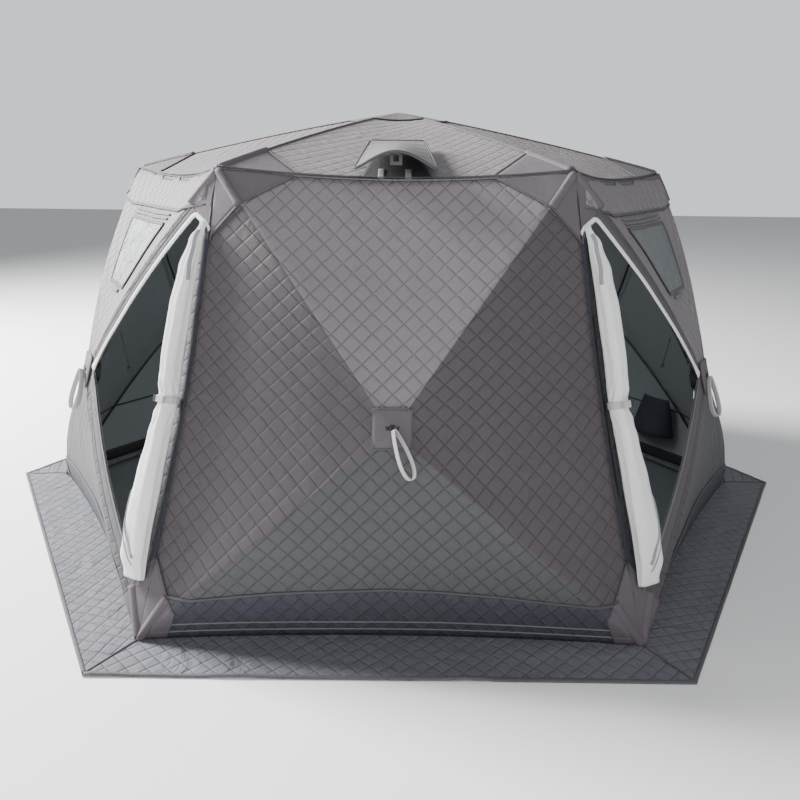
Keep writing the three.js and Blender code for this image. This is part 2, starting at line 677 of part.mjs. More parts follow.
// ---- low vent: a small hood inside the rear right wall ----
function lowVentHood() {
  const centre = v3(LOW_VENT.x, 0, 0);
  const ringAt = (z, reach) => {
    const wallY = -(BASE_RADIUS * cos30) + LOW_VENT.inset;
    const half = LOW_VENT.half * (0.45 + 0.55 * (reach / LOW_VENT.reach));
    return [
      v3(centre.x - half, wallY, z),
      v3(centre.x - half * 0.6, wallY + reach * 0.8, z),
      v3(centre.x, wallY + reach, z),
      v3(centre.x + half * 0.6, wallY + reach * 0.8, z),
      v3(centre.x + half, wallY, z),
    ];
  };
  const outer = [...ringAt(LOW_VENT.low, LOW_VENT.reach), ...ringAt(LOW_VENT.high, LOW_VENT.reach * 0.25)];
  const triangles = [];
  for (let i = 0; i < 4; i += 1) triangles.push([i, i + 5, i + 6], [i, i + 6, i + 1]);
  return clothSolid(outer, outer.map((p) => v3(p.x, p.y - HOOD.thickness, p.z)), triangles);
}

const ventGroup = new THREE.Group();
ventGroup.rotation.z = (2 * Math.PI) / 3;
shelter.add(ventGroup);
add(ventGroup, 'low_vent_hood', lowVentHood(), material(COLOUR.vent, 0.9));

export default shelter;
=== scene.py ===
"""Looks of a six-sided pop-up ice fishing shelter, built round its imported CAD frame.

The four-panel walls, the roof and the snow skirt are sheets of quilted cloth over arched rods, and the two
doors are rolled up beside their doorways.
Lengths are metres, +Z is up, and the front wall faces -Y.
"""

import logging
import math
from collections.abc import Callable, Sequence
from dataclasses import dataclass, field
from enum import Enum

import bpy
from mathutils import Matrix, Vector, noise
from mathutils.bvhtree import BVHTree

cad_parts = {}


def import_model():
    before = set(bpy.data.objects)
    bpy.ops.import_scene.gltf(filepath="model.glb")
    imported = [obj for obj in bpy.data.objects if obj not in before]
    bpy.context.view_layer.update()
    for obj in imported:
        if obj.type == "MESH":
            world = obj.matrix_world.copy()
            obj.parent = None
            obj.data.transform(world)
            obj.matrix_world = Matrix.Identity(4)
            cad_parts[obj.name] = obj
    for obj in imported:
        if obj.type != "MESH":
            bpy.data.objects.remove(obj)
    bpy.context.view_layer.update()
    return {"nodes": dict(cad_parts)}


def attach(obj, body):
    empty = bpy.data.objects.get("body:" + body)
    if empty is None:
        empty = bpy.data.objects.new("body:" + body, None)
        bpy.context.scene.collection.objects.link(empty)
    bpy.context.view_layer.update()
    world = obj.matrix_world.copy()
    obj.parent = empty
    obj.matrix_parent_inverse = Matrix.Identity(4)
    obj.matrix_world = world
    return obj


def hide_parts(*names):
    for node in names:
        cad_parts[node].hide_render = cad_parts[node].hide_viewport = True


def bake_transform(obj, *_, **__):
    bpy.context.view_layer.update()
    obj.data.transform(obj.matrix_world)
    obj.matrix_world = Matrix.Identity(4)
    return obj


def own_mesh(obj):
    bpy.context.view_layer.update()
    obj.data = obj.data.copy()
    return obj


LOG = logging.getLogger("shelter")
Point2 = tuple[float, float]
Colour = tuple[float, float, float]
COS30 = math.cos(math.pi / 6)
# a line that meets the edge between two faces can miss both, so it is moved by these in metres
EDGE_SHIFTS = (0.0, 3e-5, -3e-5)
# the cloth and the lining are two sheets, in metres
CLOTH_THICKNESS = 0.0035
LINING_THICKNESS = 0.0012
LINING_GAP = 0.0001
# a depth for a layer inside or outside the cloth's face, given to follow, in metres
LINING_DEPTH = 0.0045
TRIM_LIFT = 0.006
WALLS = ("front", "front_right", "rear_right", "rear", "rear_left", "front_left")
CORNERS = ("base_left", "base_right", "eave_right", "eave_left")
RIDGES = ("front_right", "right", "rear_right", "rear_left", "left", "front_left")


class Pattern(Enum):
    """How a cloth is stitched."""

    PLAIN = "plain"
    QUILTED = "quilted"


# ---- node helpers and shared effects ----


def arch(t: float) -> float:
    """A rise from 0 to 1 and back to 0 as t goes from 0 to 1."""
    return 4.0 * t * (1.0 - t)


def node(tree: bpy.types.NodeTree, kind: str, **settings: object) -> bpy.types.Node:
    """Adds a node.

    Args:
        tree: The node tree that takes it.
        kind: Blender's name for the type of node.
        settings: Properties to set on it; a key that starts with "in_" sets the input of that name or number.

    Returns:
        The new node.
    """
    made = tree.nodes.new(kind)
    for key, value in settings.items():
        if key.startswith("in_"):
            name = key[3:]
            made.inputs[int(name) if name.isdigit() else name].default_value = value
        else:
            setattr(made, key, value)
    return made


def maths(tree: bpy.types.NodeTree, operation: str, *values: object) -> bpy.types.NodeSocket:
    """Adds a Math node.

    Args:
        tree: The node tree that takes it.
        operation: The node's operation.
        values: Its inputs in order, each a socket or a number.

    Returns:
        The node's output socket.
    """
    made = tree.nodes.new("ShaderNodeMath")
    made.operation = operation
    for index, value in enumerate(values):
        if isinstance(value, bpy.types.NodeSocket):
            tree.links.new(value, made.inputs[index])
        else:
            made.inputs[index].default_value = value
    return made.outputs[0]


def new_group(name: str, inputs: dict[str, float], outputs: Sequence[str]) -> tuple:
    """Starts a shader node group with a Vector input.

    Args:
        name: The group's name.
        inputs: Named float inputs with their usual values.
        outputs: Named float outputs.

    Returns:
        The group, its input node and its output node.
    """
    group = bpy.data.node_groups.new(name, "ShaderNodeTree")
    group.interface.new_socket("Vector", in_out="INPUT", socket_type="NodeSocketVector")
    for label, value in inputs.items():
        socket = group.interface.new_socket(label, in_out="INPUT", socket_type="NodeSocketFloat")
        socket.default_value = value
    for label in outputs:
        group.interface.new_socket(label, in_out="OUTPUT", socket_type="NodeSocketFloat")
    return group, group.nodes.new("NodeGroupInput"), group.nodes.new("NodeGroupOutput")


def quilting_group() -> bpy.types.NodeTree:
    """Diamond quilting: puffed cells between two families of slanting stitch lines.

    Returns:
        A group with the outputs Height in metres, Seam, the mask of the valleys that take painted shade, and
        Stitch, the dashes that take a painted highlight.
    """
    group, start, end = new_group("Quilting", {"Cell": 0.05, "Puff": 0.006}, ("Height", "Seam", "Stitch"))
    drift = node(group, "ShaderNodeTexNoise", in_Scale=3.0, in_Detail=2.0)
    group.links.new(start.outputs["Vector"], drift.inputs["Vector"])
    split = group.nodes.new("ShaderNodeSeparateXYZ")
    group.links.new(start.outputs["Vector"], split.inputs[0])
    sway = maths(group, "MULTIPLY", maths(group, "SUBTRACT", drift.outputs["Fac"], 0.5), 0.02)
    across = maths(group, "ADD", split.outputs[0], sway)
    upward = split.outputs[1]
    cell = maths(group, "MULTIPLY", start.outputs["Cell"], math.sqrt(2))
    folded, runs = [], []
    for operation in ("ADD", "SUBTRACT"):
        run = maths(group, "DIVIDE", maths(group, operation, across, upward), cell)
        runs.append(run)
        part = maths(group, "FRACT", maths(group, "ADD", run, 100.0))
        folded.append(
            maths(group, "ABSOLUTE", maths(group, "SUBTRACT", maths(group, "MULTIPLY", part, 2.0), 1.0))
        )
    crowns = [maths(group, "SUBTRACT", 1.0, maths(group, "POWER", f, 7.0)) for f in folded]
    swell = maths(group, "POWER", maths(group, "MULTIPLY", crowns[0], crowns[1]), 0.6)
    height = maths(group, "MULTIPLY", swell, start.outputs["Puff"])
    group.links.new(height, end.inputs["Height"])
    nearest = maths(group, "MAXIMUM", folded[0], folded[1])
    seam = node(group, "ShaderNodeMapRange", interpolation_type="SMOOTHSTEP")
    seam.inputs["From Min"].default_value = 0.945
    seam.inputs["From Max"].default_value = 0.99
    group.links.new(nearest, seam.inputs["Value"])
    group.links.new(seam.outputs[0], end.inputs["Seam"])
    dash = maths(group, "SINE", maths(group, "MULTIPLY", maths(group, "ADD", runs[0], runs[1]), 62.0))
    stitch = maths(group, "MULTIPLY", maths(group, "GREATER_THAN", dash, -0.2), seam.outputs[0])
    group.links.new(stitch, end.inputs["Stitch"])
    return group


def weave_group() -> bpy.types.NodeTree:
    """The threads of a plain weave, as a height.

    Returns:
        A group with the output Height in metres.
    """
    group, start, end = new_group("Weave", {"Thread": 0.0011, "Depth": 0.00012}, ("Height",))
    split = group.nodes.new("ShaderNodeSeparateXYZ")
    group.links.new(start.outputs["Vector"], split.inputs[0])
    waves = []
    for index in (0, 1):
        turns = maths(group, "DIVIDE", split.outputs[index], start.outputs["Thread"])
        waves.append(maths(group, "SINE", maths(group, "MULTIPLY", turns, 2 * math.pi)))
    height = maths(group, "MULTIPLY", maths(group, "MULTIPLY", waves[0], waves[1]), start.outputs["Depth"])
    group.links.new(height, end.inputs["Height"])
    return group


def creases_group() -> bpy.types.NodeTree:
    """Soft creases of cloth that has been folded and packed.

    Returns:
        A group with the outputs Height in metres and Fade, a slow variation from 0 to 1.
    """
    group, start, end = new_group("Creases", {"Scale": 5.0, "Depth": 0.004}, ("Height", "Fade"))
    broad = node(group, "ShaderNodeTexNoise", in_Detail=3.0, in_Roughness=0.55, in_Distortion=0.8)
    group.links.new(start.outputs["Vector"], broad.inputs["Vector"])
    group.links.new(start.outputs["Scale"], broad.inputs["Scale"])
    ridge = maths(group, "ABSOLUTE", maths(group, "SUBTRACT", broad.outputs["Fac"], 0.5))
    height = maths(group, "MULTIPLY", ridge, maths(group, "MULTIPLY", start.outputs["Depth"], -4.0))
    group.links.new(height, end.inputs["Height"])
    slow = node(group, "ShaderNodeTexNoise", in_Scale=1.7, in_Detail=4.0)
    group.links.new(start.outputs["Vector"], slow.inputs["Vector"])
    group.links.new(slow.outputs["Fac"], end.inputs["Fade"])
    return group


def grime_group() -> bpy.types.NodeTree:
    """Dust and scuffs.

    Returns:
        A group with the output Amount, from 0 to 1.
    """
    group, start, end = new_group("Grime", {"Scale": 9.0, "Reach": 0.5}, ("Amount",))
    specks = node(group, "ShaderNodeTexNoise", in_Detail=8.0, in_Roughness=0.7)
    group.links.new(start.outputs["Vector"], specks.inputs["Vector"])
    group.links.new(start.outputs["Scale"], specks.inputs["Scale"])
    level = maths(group, "SUBTRACT", specks.outputs["Fac"], start.outputs["Reach"])
    amount = maths(group, "MULTIPLY", level, 3.0)
    clamp = node(group, "ShaderNodeClamp")
    group.links.new(amount, clamp.inputs["Value"])
    group.links.new(clamp.outputs[0], end.inputs["Amount"])
    return group


def linear(red: int, green: int, blue: int) -> Colour:
    """A display colour from 0 to 255 as linear light."""
    parts = (c / 255.0 for c in (red, green, blue))
    return tuple(c / 12.92 if c <= 0.04045 else ((c + 0.055) / 1.055) ** 2.4 for c in parts)


class Effects:
    """The shared node groups."""

    def __init__(self) -> None:
        """Builds each group once."""
        self.quilting = quilting_group()
        self.weave = weave_group()
        self.creases = creases_group()
        self.grime = grime_group()


def place_group(
    tree: bpy.types.NodeTree, group: bpy.types.NodeTree, vector: object, **values: float
) -> bpy.types.Node:
    """Adds a shared effect to a material.

    Args:
        tree: The material's node tree.
        group: The effect.
        vector: The socket with the coordinates.
        values: The effect's inputs.

    Returns:
        The group node.
    """
    made = tree.nodes.new("ShaderNodeGroup")
    made.node_tree = group
    tree.links.new(vector, made.inputs["Vector"])
    for name, value in values.items():
        made.inputs[name].default_value = value
    return made


@dataclass(frozen=True)
class Cloth:
    """A woven finish, plain or quilted, with stitches, creases and dust; quilted seams get painted shade in
    their valleys and a painted highlight on their stitches.
    """

    name: str
    colour: Colour
    pattern: Pattern = Pattern.QUILTED
    contrast: float = 0.16
    # how much lighter the stitch dashes are painted, a painted highlight of sheen on the thread
    painted_stitch_highlight: float = 0.35
    cell: float = 0.05
    puff: float = 0.006
    crease: float = 0.004
    crease_scale: float = 5.0
    roughness: float = 0.72
    sheen: float = 0.05
    dust: float = 0.05
    dust_colour: Colour = (0.30, 0.28, 0.27)
    thread: float = 0.0011

    def material(self, effects: Effects) -> bpy.types.Material:
        """Builds the finish.

        Args:
            effects: The shared node groups.

        Returns:
            The material.
        """
        made = bpy.data.materials.new(self.name)
        made.use_nodes = True
        tree = made.node_tree
        shader = tree.nodes["Principled BSDF"]
        shader.inputs["Sheen Weight"].default_value = self.sheen
        shader.inputs["Sheen Roughness"].default_value = 0.45
        uv = tree.nodes.new("ShaderNodeUVMap").outputs[0]
        weave = place_group(tree, effects.weave, uv, Thread=self.thread)
        creases = place_group(tree, effects.creases, uv, Scale=self.crease_scale, Depth=self.crease)
        height = maths(tree, "ADD", weave.outputs["Height"], creases.outputs["Height"])
        dark = tuple(c * (1 - self.contrast) for c in self.colour)
        light = tuple(min(1.0, c * (1 + self.contrast)) for c in self.colour)
        base = node(tree, "ShaderNodeMix", data_type="RGBA", in_6=(*dark, 1), in_7=(*light, 1))
        tree.links.new(creases.outputs["Fade"], base.inputs[0])
        colour = base.outputs[2]
        if self.pattern is Pattern.QUILTED:
            quilt = place_group(tree, effects.quilting, uv, Cell=self.cell, Puff=self.puff)
            height = maths(tree, "ADD", height, quilt.outputs["Height"])
            # painted shade darkens the quilted seam valleys to 0.6 of the colour, and a painted highlight
            # lightens the stitch dashes, standing for sheen on the thread
            for output, factor, amount in (("Seam", 0.6, 0.5), ("Stitch", 1 + self.painted_stitch_highlight, 0.25)):
                painted_seam_tone = tuple(min(1.0, c * factor) for c in self.colour)
                lines = node(tree, "ShaderNodeMix", data_type="RGBA", in_7=(*painted_seam_tone, 1))
                tree.links.new(colour, lines.inputs[6])
                tree.links.new(maths(tree, "MULTIPLY", quilt.outputs[output], amount), lines.inputs[0])
                colour = lines.outputs[2]
        grime = place_group(tree, effects.grime, uv, Scale=9.0, Reach=0.5)
        dusty = node(tree, "ShaderNodeMix", data_type="RGBA", in_7=(*self.dust_colour, 1))
        tree.links.new(colour, dusty.inputs[6])
        tree.links.new(maths(tree, "MULTIPLY", grime.outputs["Amount"], self.dust), dusty.inputs[0])
        tree.links.new(dusty.outputs[2], shader.inputs["Base Color"])
        spread = maths(tree, "MULTIPLY_ADD", creases.outputs["Fade"], 0.16, self.roughness - 0.08)
        tree.links.new(spread, shader.inputs["Roughness"])
        bump = node(tree, "ShaderNodeBump", in_Distance=1.0, in_Strength=1.0)
        tree.links.new(height, bump.inputs["Height"])
        tree.links.new(bump.outputs[0], shader.inputs["Normal"])
        return made


@dataclass(frozen=True)
class Hard:
    """A moulded, drawn or cast finish on Object coordinates, with fine grain and wear."""

    name: str
    colour: Colour
    roughness: float = 0.5
    metallic: float = 0.0
    grain: float = 0.00008
    grain_scale: float = 900.0
    worn: Colour = (0.2, 0.2, 0.2)
    wear: float = 0.15
    coat: float = 0.0

    def material(self, effects: Effects) -> bpy.types.Material:
        """Builds the finish.

        Args:
            effects: The shared node groups.

        Returns:
            The material.
        """
        made = bpy.data.materials.new(self.name)
        made.use_nodes = True
        tree = made.node_tree
        shader = tree.nodes["Principled BSDF"]
        shader.inputs["Metallic"].default_value = self.metallic
        shader.inputs["Coat Weight"].default_value = self.coat
        place = tree.nodes.new("ShaderNodeTexCoord").outputs["Object"]
        grime = place_group(tree, effects.grime, place, Scale=60.0, Reach=0.48)
        mix = node(tree, "ShaderNodeMix", data_type="RGBA", in_6=(*self.colour, 1), in_7=(*self.worn, 1))
        tree.links.new(maths(tree, "MULTIPLY", grime.outputs["Amount"], self.wear), mix.inputs[0])
        tree.links.new(mix.outputs[2], shader.inputs["Base Color"])
        fine = node(tree, "ShaderNodeTexNoise", in_Scale=self.grain_scale, in_Detail=3.0)
        tree.links.new(place, fine.inputs["Vector"])
        spread = maths(tree, "MULTIPLY_ADD", fine.outputs["Fac"], 0.2, self.roughness - 0.1)
        tree.links.new(spread, shader.inputs["Roughness"])
        bump = node(tree, "ShaderNodeBump", in_Distance=1.0)
        tree.links.new(maths(tree, "MULTIPLY", fine.outputs["Fac"], self.grain), bump.inputs["Height"])
        tree.links.new(bump.outputs[0], shader.inputs["Normal"])
        return made


class Finishes:
    """Every finish of the shelter, made once."""

    def __init__(self, effects: Effects) -> None:
        """Builds the materials.

        Args:
            effects: The shared node groups.
        """
        plain = Pattern.PLAIN
        cloths = (
            # one wall fabric in three tones: the up-facing top triangle is lighter, painted light; the side
            # and lower triangles are darker, painted shade, and the lower ones also have a slight slate tint
            Cloth("wall_upper_cloth_painted_light", (0.205, 0.183, 0.195)),
            Cloth("wall_side_cloth_painted_shade", (0.075, 0.063, 0.070)),
            Cloth("wall_lower_cloth_painted_shade", (0.075, 0.076, 0.081)),
            Cloth("kick_cloth", (0.042, 0.045, 0.060), painted_stitch_highlight=0.5),
            Cloth("roof_cloth", (0.19, 0.175, 0.18)),
            Cloth("skirt_cloth", (0.125, 0.125, 0.145), crease=0.009),
            Cloth("gusset_cloth", (0.105, 0.090, 0.103), plain, crease=0.002, thread=0.0016),
            Cloth("facing_cloth", (0.085, 0.079, 0.088), plain, crease=0.003, crease_scale=9.0),
            Cloth("navy_cloth", (0.02, 0.022, 0.035), plain, dust=0.04),
            Cloth("lining", (0.20, 0.223, 0.237), plain, crease=0.002, sheen=0.1, roughness=0.6, dust=0.05),
            Cloth(
                "floor_sheet", (0.13, 0.147, 0.157), plain, crease=0.002, crease_scale=3.0, sheen=0.0,
                roughness=0.5
            ),
            Cloth("door_lining", (0.86, 0.86, 0.86), plain, 0.02, crease=0.003, dust=0.02, sheen=0.1),
            Cloth("white_tape", (0.84, 0.83, 0.8), plain, 0.04, crease=0.0, thread=0.0022, dust=0.05),
            Cloth("zip_tape", (0.30, 0.31, 0.33), plain, crease=0.0, thread=0.0024),
            Cloth("webbing", (0.5, 0.49, 0.5), plain, crease=0.0005, thread=0.003, dust=0.08),
            Cloth("black_webbing", (0.012, 0.012, 0.013), plain, crease=0.0005, thread=0.003, dust=0.03),
            Cloth("piping", (0.07, 0.068, 0.075), plain, crease=0.0, thread=0.0018),
            Cloth("light_piping", (0.14, 0.138, 0.14), plain, crease=0.0, thread=0.0018),
            Cloth(
                "window_blind", (0.13, 0.145, 0.155), plain, crease=0.012, crease_scale=7.0, roughness=0.42
            ),
            Cloth("dark_mesh", (0.012, 0.012, 0.014), plain, crease=0.0, thread=0.002, dust=0.0),
        )
        hards = (
            Hard("hub_plastic", (0.012, 0.012, 0.013), 0.55),
            Hard("rod_fibre", (0.006, 0.006, 0.007), 0.32, coat=0.4, wear=0.05),
            Hard("ferrule_steel", (0.45, 0.45, 0.47), 0.3, 1.0, worn=(0.2, 0.2, 0.21)),
            Hard("buckle_plastic", (0.03, 0.03, 0.034), 0.42),
            Hard("zip_metal", (0.5, 0.5, 0.52), 0.3, 1.0),
            Hard("strip_plastic", (0.055, 0.06, 0.065), 0.5),
        )
        self.made = {finish.name: finish.material(effects) for finish in (*cloths, *hards)}

    def __getitem__(self, name: str) -> bpy.types.Material:
        """The material of that name."""
        return self.made[name]


# ---- making meshes ----


@dataclass
class Shell:
    """A mesh in the making: points with places on the cloth, and faces with finish numbers."""

    points: list[Vector] = field(default_factory=list)
    places: list[Point2] = field(default_factory=list)
    faces: list[tuple[int, ...]] = field(default_factory=list)
    finishes: list[int] = field(default_factory=list)

    def add_grid(
        self, rows: Sequence[Sequence[Vector]], places: Sequence[Sequence[Point2]], finish: int = 0
    ) -> None:
        """Adds an open grid of four-sided faces.

        Args:
            rows: The grid's points, row by row.
            places: Each point's place on the cloth, in metres.
            finish: The finish number of its faces.
        """
        first = len(self.points)
        width = len(rows[0])
        for row, spots in zip(rows, places):
            self.points.extend(row)
            self.places.extend(spots)
        for i in range(len(rows) - 1):
            for j in range(width - 1):
                a = first + i * width + j
                self.faces.append((a, a + 1, a + width + 1, a + width))
                self.finishes.append(finish)

    def build(
        self, name: str, materials: Sequence[bpy.types.Material], flip: bool = False
    ) -> bpy.types.Object:
        """Makes the object, with close points merged.

        Args:
            name: The piece's name.
            materials: Its finishes, in the order of the finish numbers.
            flip: Whether the faces are turned over.

        Returns:
            The piece.
        """
        mesh = bpy.data.meshes.new(name)
        faces = [tuple(reversed(f)) for f in self.faces] if flip else self.faces
        mesh.from_pydata([tuple(p) for p in self.points], [], faces)
        layer = mesh.uv_layers.new(name="Cloth")
        for loop in mesh.loops:
            layer.data[loop.index].uv = self.places[loop.vertex_index]
        for material in materials:
            mesh.materials.append(material)
        mesh.polygons.foreach_set("material_index", self.finishes)
        made = bpy.data.objects.new(name, mesh)
        bpy.context.scene.collection.objects.link(made)
        activate(made)
        bpy.ops.object.mode_set(mode="EDIT")
        bpy.ops.mesh.select_all(action="SELECT")
        bpy.ops.mesh.remove_doubles(threshold=2e-5)
        bpy.ops.mesh.dissolve_degenerate(threshold=1e-5)
        bpy.ops.object.mode_set(mode="OBJECT")
        bpy.ops.object.shade_smooth()
        return made


def activate(piece: bpy.types.Object) -> None:
    """Selects one piece alone."""
    bpy.ops.object.select_all(action="DESELECT")
    piece.select_set(True)
    bpy.context.view_layer.objects.active = piece


def apply_modifier(piece: bpy.types.Object, kind: str, **settings: object) -> None:
    """Adds a modifier and applies it.

    Args:
        piece: The piece that takes it.
        kind: The modifier's type.
        settings: Its properties.
    """
    activate(piece)
    made = piece.modifiers.new(kind.title(), kind)
    for key, value in settings.items():
        setattr(made, key, value)
    bpy.ops.object.modifier_apply(modifier=made.name)


def thicken(piece: bpy.types.Object, thickness: float, inner_finish: int = 0) -> None:
    """Gives an open sheet its thickness, inwards from its faces, with another finish on the far side."""
    apply_modifier(
        piece, "SOLIDIFY", thickness=thickness, offset=-1.0,
        material_offset=inner_finish, material_offset_rim=0,
    )


def line_cloth(lining: bpy.types.Object) -> None:
    """Moves a lining to the inside of its cloth and gives it its own thickness.

    Args:
        lining: The lining, a copy of the open sheet that the cloth is made from.
    """
    apply_modifier(lining, "DISPLACE", strength=-CLOTH_THICKNESS - LINING_GAP, mid_level=0.0)
    thicken(lining, LINING_THICKNESS)


def resampled(path: Sequence[Point2], count: int) -> list[Point2]:
    """Points at equal steps along a path.

    Args:
        path: The corners of the path.
        count: How many steps.

    Returns:
        count + 1 points.
    """
    lengths = [0.0]
    for a, b in zip(path, path[1:]):
        lengths.append(lengths[-1] + math.dist(a, b))
    found = []
    leg = 0
    for i in range(count + 1):
        at = lengths[-1] * i / count
        while leg < len(path) - 2 and at > lengths[leg + 1]:
            leg += 1
        span = max(lengths[leg + 1] - lengths[leg], 1e-9)
        t = (at - lengths[leg]) / span
        a, b = path[leg], path[leg + 1]
        found.append((a[0] + (b[0] - a[0]) * t, a[1] + (b[1] - a[1]) * t))
    return found


def smoothed(path: Sequence[Point2], count: int) -> list[Point2]:
    """A smooth curve through the given points.

    Args:
        path: Points that the curve passes.
        count: How many steps for the whole curve.

    Returns:
        count + 1 points.
    """
    ends = [path[0], *path, path[-1]]
    fine = []
    for i in range(len(path) - 1):
        p0, p1, p2, p3 = ends[i : i + 4]
        for step in range(12):
            t = step / 12
            fine.append(tuple(
                0.5 * (
                    2 * b + (c - a) * t + (2 * a - 5 * b + 4 * c - d) * t * t + (3 * b - a - 3 * c + d) * t**3
                )
                for a, b, c, d in zip(p0, p1, p2, p3)
            ))
    fine.append(path[-1])
    return resampled(fine, count)


class Drape:
    """A curved cloth that trims are laid on, found by its two flat coordinates."""

    def __init__(self, tree: BVHTree, aim: Callable[[float, float], tuple[Vector, Vector, Vector]]) -> None:
        """Keeps the cloth's faces and the line that meets them.

        Args:
            tree: The cloth's faces.
            aim: For two flat coordinates, the start and direction of the line, and a point near the cloth.
        """
        self.tree = tree
        self.aim = aim

    def project(self, u: float, v: float) -> tuple[Vector, Vector]:
        """The point of the cloth at two flat coordinates, and its outward normal."""
        for shift in EDGE_SHIFTS:
            start, direction, near = self.aim(u + shift, v + 0.6 * shift)
            point, normal, _, _ = self.tree.ray_cast(start, direction)
            if point is not None:
                break
        else:
            point, normal, _, _ = self.tree.find_nearest(near)
        if normal.dot(direction) > 0:
            normal = -normal
        return point, normal

    def strip(
        self,
        side_a: Sequence[Point2],
        side_b: Sequence[Point2],
        along: int,
        across: int = 4,
        lift: float = 0.0015,
        thickness: float = 0.002,
        crown: float = 0.0,
    ) -> Shell:
        """A closed band laid on the cloth between two paths.

        Args:
            side_a: One long side.
            side_b: The other long side, the same way round.
            along: Steps along the band.
            across: Steps across it.
            lift: How far its underside stands off the cloth.
            thickness: Its thickness at the edges.
            crown: How much it swells at its middle.

        Returns:
            The band.
        """
        first, second = resampled(side_a, along), resampled(side_b, along)
        top, under, places = [], [], []
        for a, b in zip(first, second):
            upper, lower, spots = [], [], []
            for j in range(across + 1):
                t = j / across
                u, v = a[0] + (b[0] - a[0]) * t, a[1] + (b[1] - a[1]) * t
                point, normal = self.project(u, v)
                lower.append(point + normal * lift)
                upper.append(point + normal * (lift + thickness + crown * math.sin(math.pi * t)))
                spots.append((u, v))
            top.append(upper)
            under.append(lower)
            places.append(spots)
        return closed_slab(top, under, places)

    def ribbon(
        self, path: Sequence[Point2], width: float | Callable[[float], float], along: int, **how: float
    ) -> Shell:
        """A band of a given width along a path.

        Args:
            path: Its middle line.
            width: Its width, or a function of the share of its length.
            along: Steps along it.
            how: The other arguments of strip.

        Returns:
            The band.
        """
        line = resampled(path, along)
        left, right = [], []
        for i, (u, v) in enumerate(line):
            before, after = line[max(i - 1, 0)], line[min(i + 1, along)]
            du, dv = after[0] - before[0], after[1] - before[1]
            size = math.hypot(du, dv) or 1.0
            half = (width(i / along) if callable(width) else width) / 2
            left.append((u - dv / size * half, v + du / size * half))
            right.append((u + dv / size * half, v - du / size * half))
        return self.strip(left, right, along, **how)


def closed_slab(
    top: Sequence[Sequence[Vector]], under: Sequence[Sequence[Vector]], places: Sequence[Sequence[Point2]]
) -> Shell:
    """A closed body between two grids.

    Args:
        top: The outer grid.
        under: The inner grid.
        places: Each point's place on the cloth.

    Returns:
        The body.
    """
    shell = Shell()
    shell.add_grid(top, places)
    shell.add_grid([list(reversed(r)) for r in under], [list(reversed(r)) for r in places])
    edges = (
        ([r[0] for r in under], [r[0] for r in top], [r[0] for r in places]),
        ([r[-1] for r in top], [r[-1] for r in under], [r[-1] for r in places]),
    )
    for one, other, spots in edges:
        rows = [[a, b] for a, b in zip(one, other)]
        shell.add_grid(rows, [[s, s] for s in spots])
    for one, other, spots in ((under[0], top[0], places[0]), (top[-1], under[-1], places[-1])):
        shell.add_grid([list(one), list(other)], [list(spots), list(spots)])
    return shell


# ---- the form of a wall, in its own frame: outwards is -Y ----


@dataclass(frozen=True)
class WallForm:
    """The curved cloth of one wall, from its corners, its hub and its arched rods."""

    base_radius: float = 1.8
    eave_radius: float = 1.27
    bottom: float = 0.0066
    top: float = 1.6234
    hub_reach: float = 1.527
    hub_height: float = 0.789
    bow: float = 0.04
    hub_depth: float = 0.036
    inset: float = 0.024
    corner_sag: float = 0.038
    eave_in: float = 0.028
    eave_down: float = 0.035
    base_sag: float = 0.045
    levels: int = 40
    columns: int = 40

    def corner(self, number: int, inset: float = 0.0, low: float = 0.0, high: float = 0.0) -> Vector:
        """A corner of the wall, in the order base left, base right, eave right, eave left."""
        side = 1.0 if number in (1, 2) else -1.0
        radius = (self.base_radius if number < 2 else self.eave_radius) - inset
        height = self.bottom + low if number < 2 else self.top - high
        return Vector((side * radius * 0.5, -radius * COS30, height))

    @property
    def hub(self) -> Vector:
        """The outside of the popped-out hub."""
        return Vector((0.0, -self.hub_reach, self.hub_height))

    @property
    def pop(self) -> Vector:
        """The direction in which the hub pops out."""
        up = self.pivot(3) - self.pivot(0)
        return Vector((0.0, -up.z, up.y)).normalized()

    def pivot(self, number: int) -> Vector:
        """Where a rod turns in its corner."""
        return self.corner(number, self.inset, 0.008, 0.016)

    def sag(self, edge: int) -> Vector:
        """How far an edge pulls in at its middle, in the order base, right, eave, left."""
        side = self.corner_sag
        return (
            Vector((0.0, self.base_sag, 0.0)),
            Vector((-side * 0.5, side * COS30, 0.0)),
            Vector((0.0, self.eave_in, -self.eave_down)),
            Vector((side * 0.5, side * COS30, 0.0)),
        )[edge]

    def rod_point(self, number: int, share: float) -> Vector:
        """A point of the cloth over a rod, from its corner to the hub."""
        return self.corner(number).lerp(self.hub, share) + self.pop * self.bow * arch(share)

    def point(self, edge: int, share: float, across: float, seed: float = 0.0) -> Vector:
        """A point of the cloth.

        Args:
            edge: The triangle, by the wall edge that it hangs from.
            share: From the edge to the hub.
            across: Along the edge.
            seed: Which wall, so that no two crease alike.

        Returns:
            The point, with the wall's slow waves.
        """
        start, end = self.rod_point(edge, share), self.rod_point((edge + 1) % 4, share)
        spot = start.lerp(end, across) + self.sag(edge) * arch(across) * (1 - share) ** 2
        hollow = 0.012 * math.sin(math.pi * across) * math.sin(math.pi * share)
        calm = min(1.0, share * 6) * min(1.0, arch(across) * 2.5)
        wave = noise.noise(Vector((spot.x * 2.2, spot.z * 1.6, seed * 7.3))) * 0.007
        ripple = noise.noise(Vector((spot.x * 9.0, spot.z * 4.0, seed * 3.1 + 9.0))) * 0.0025
        return spot - self.pop * (hollow + (wave + ripple) * calm)

    def place(self, spot: Vector) -> Point2:
        """Where a point lies on the flat cloth, in metres."""
        above = max(0.0, spot.z - self.hub_height)
        return (spot.x, min(spot.z, self.hub_height) + above * 1.12)


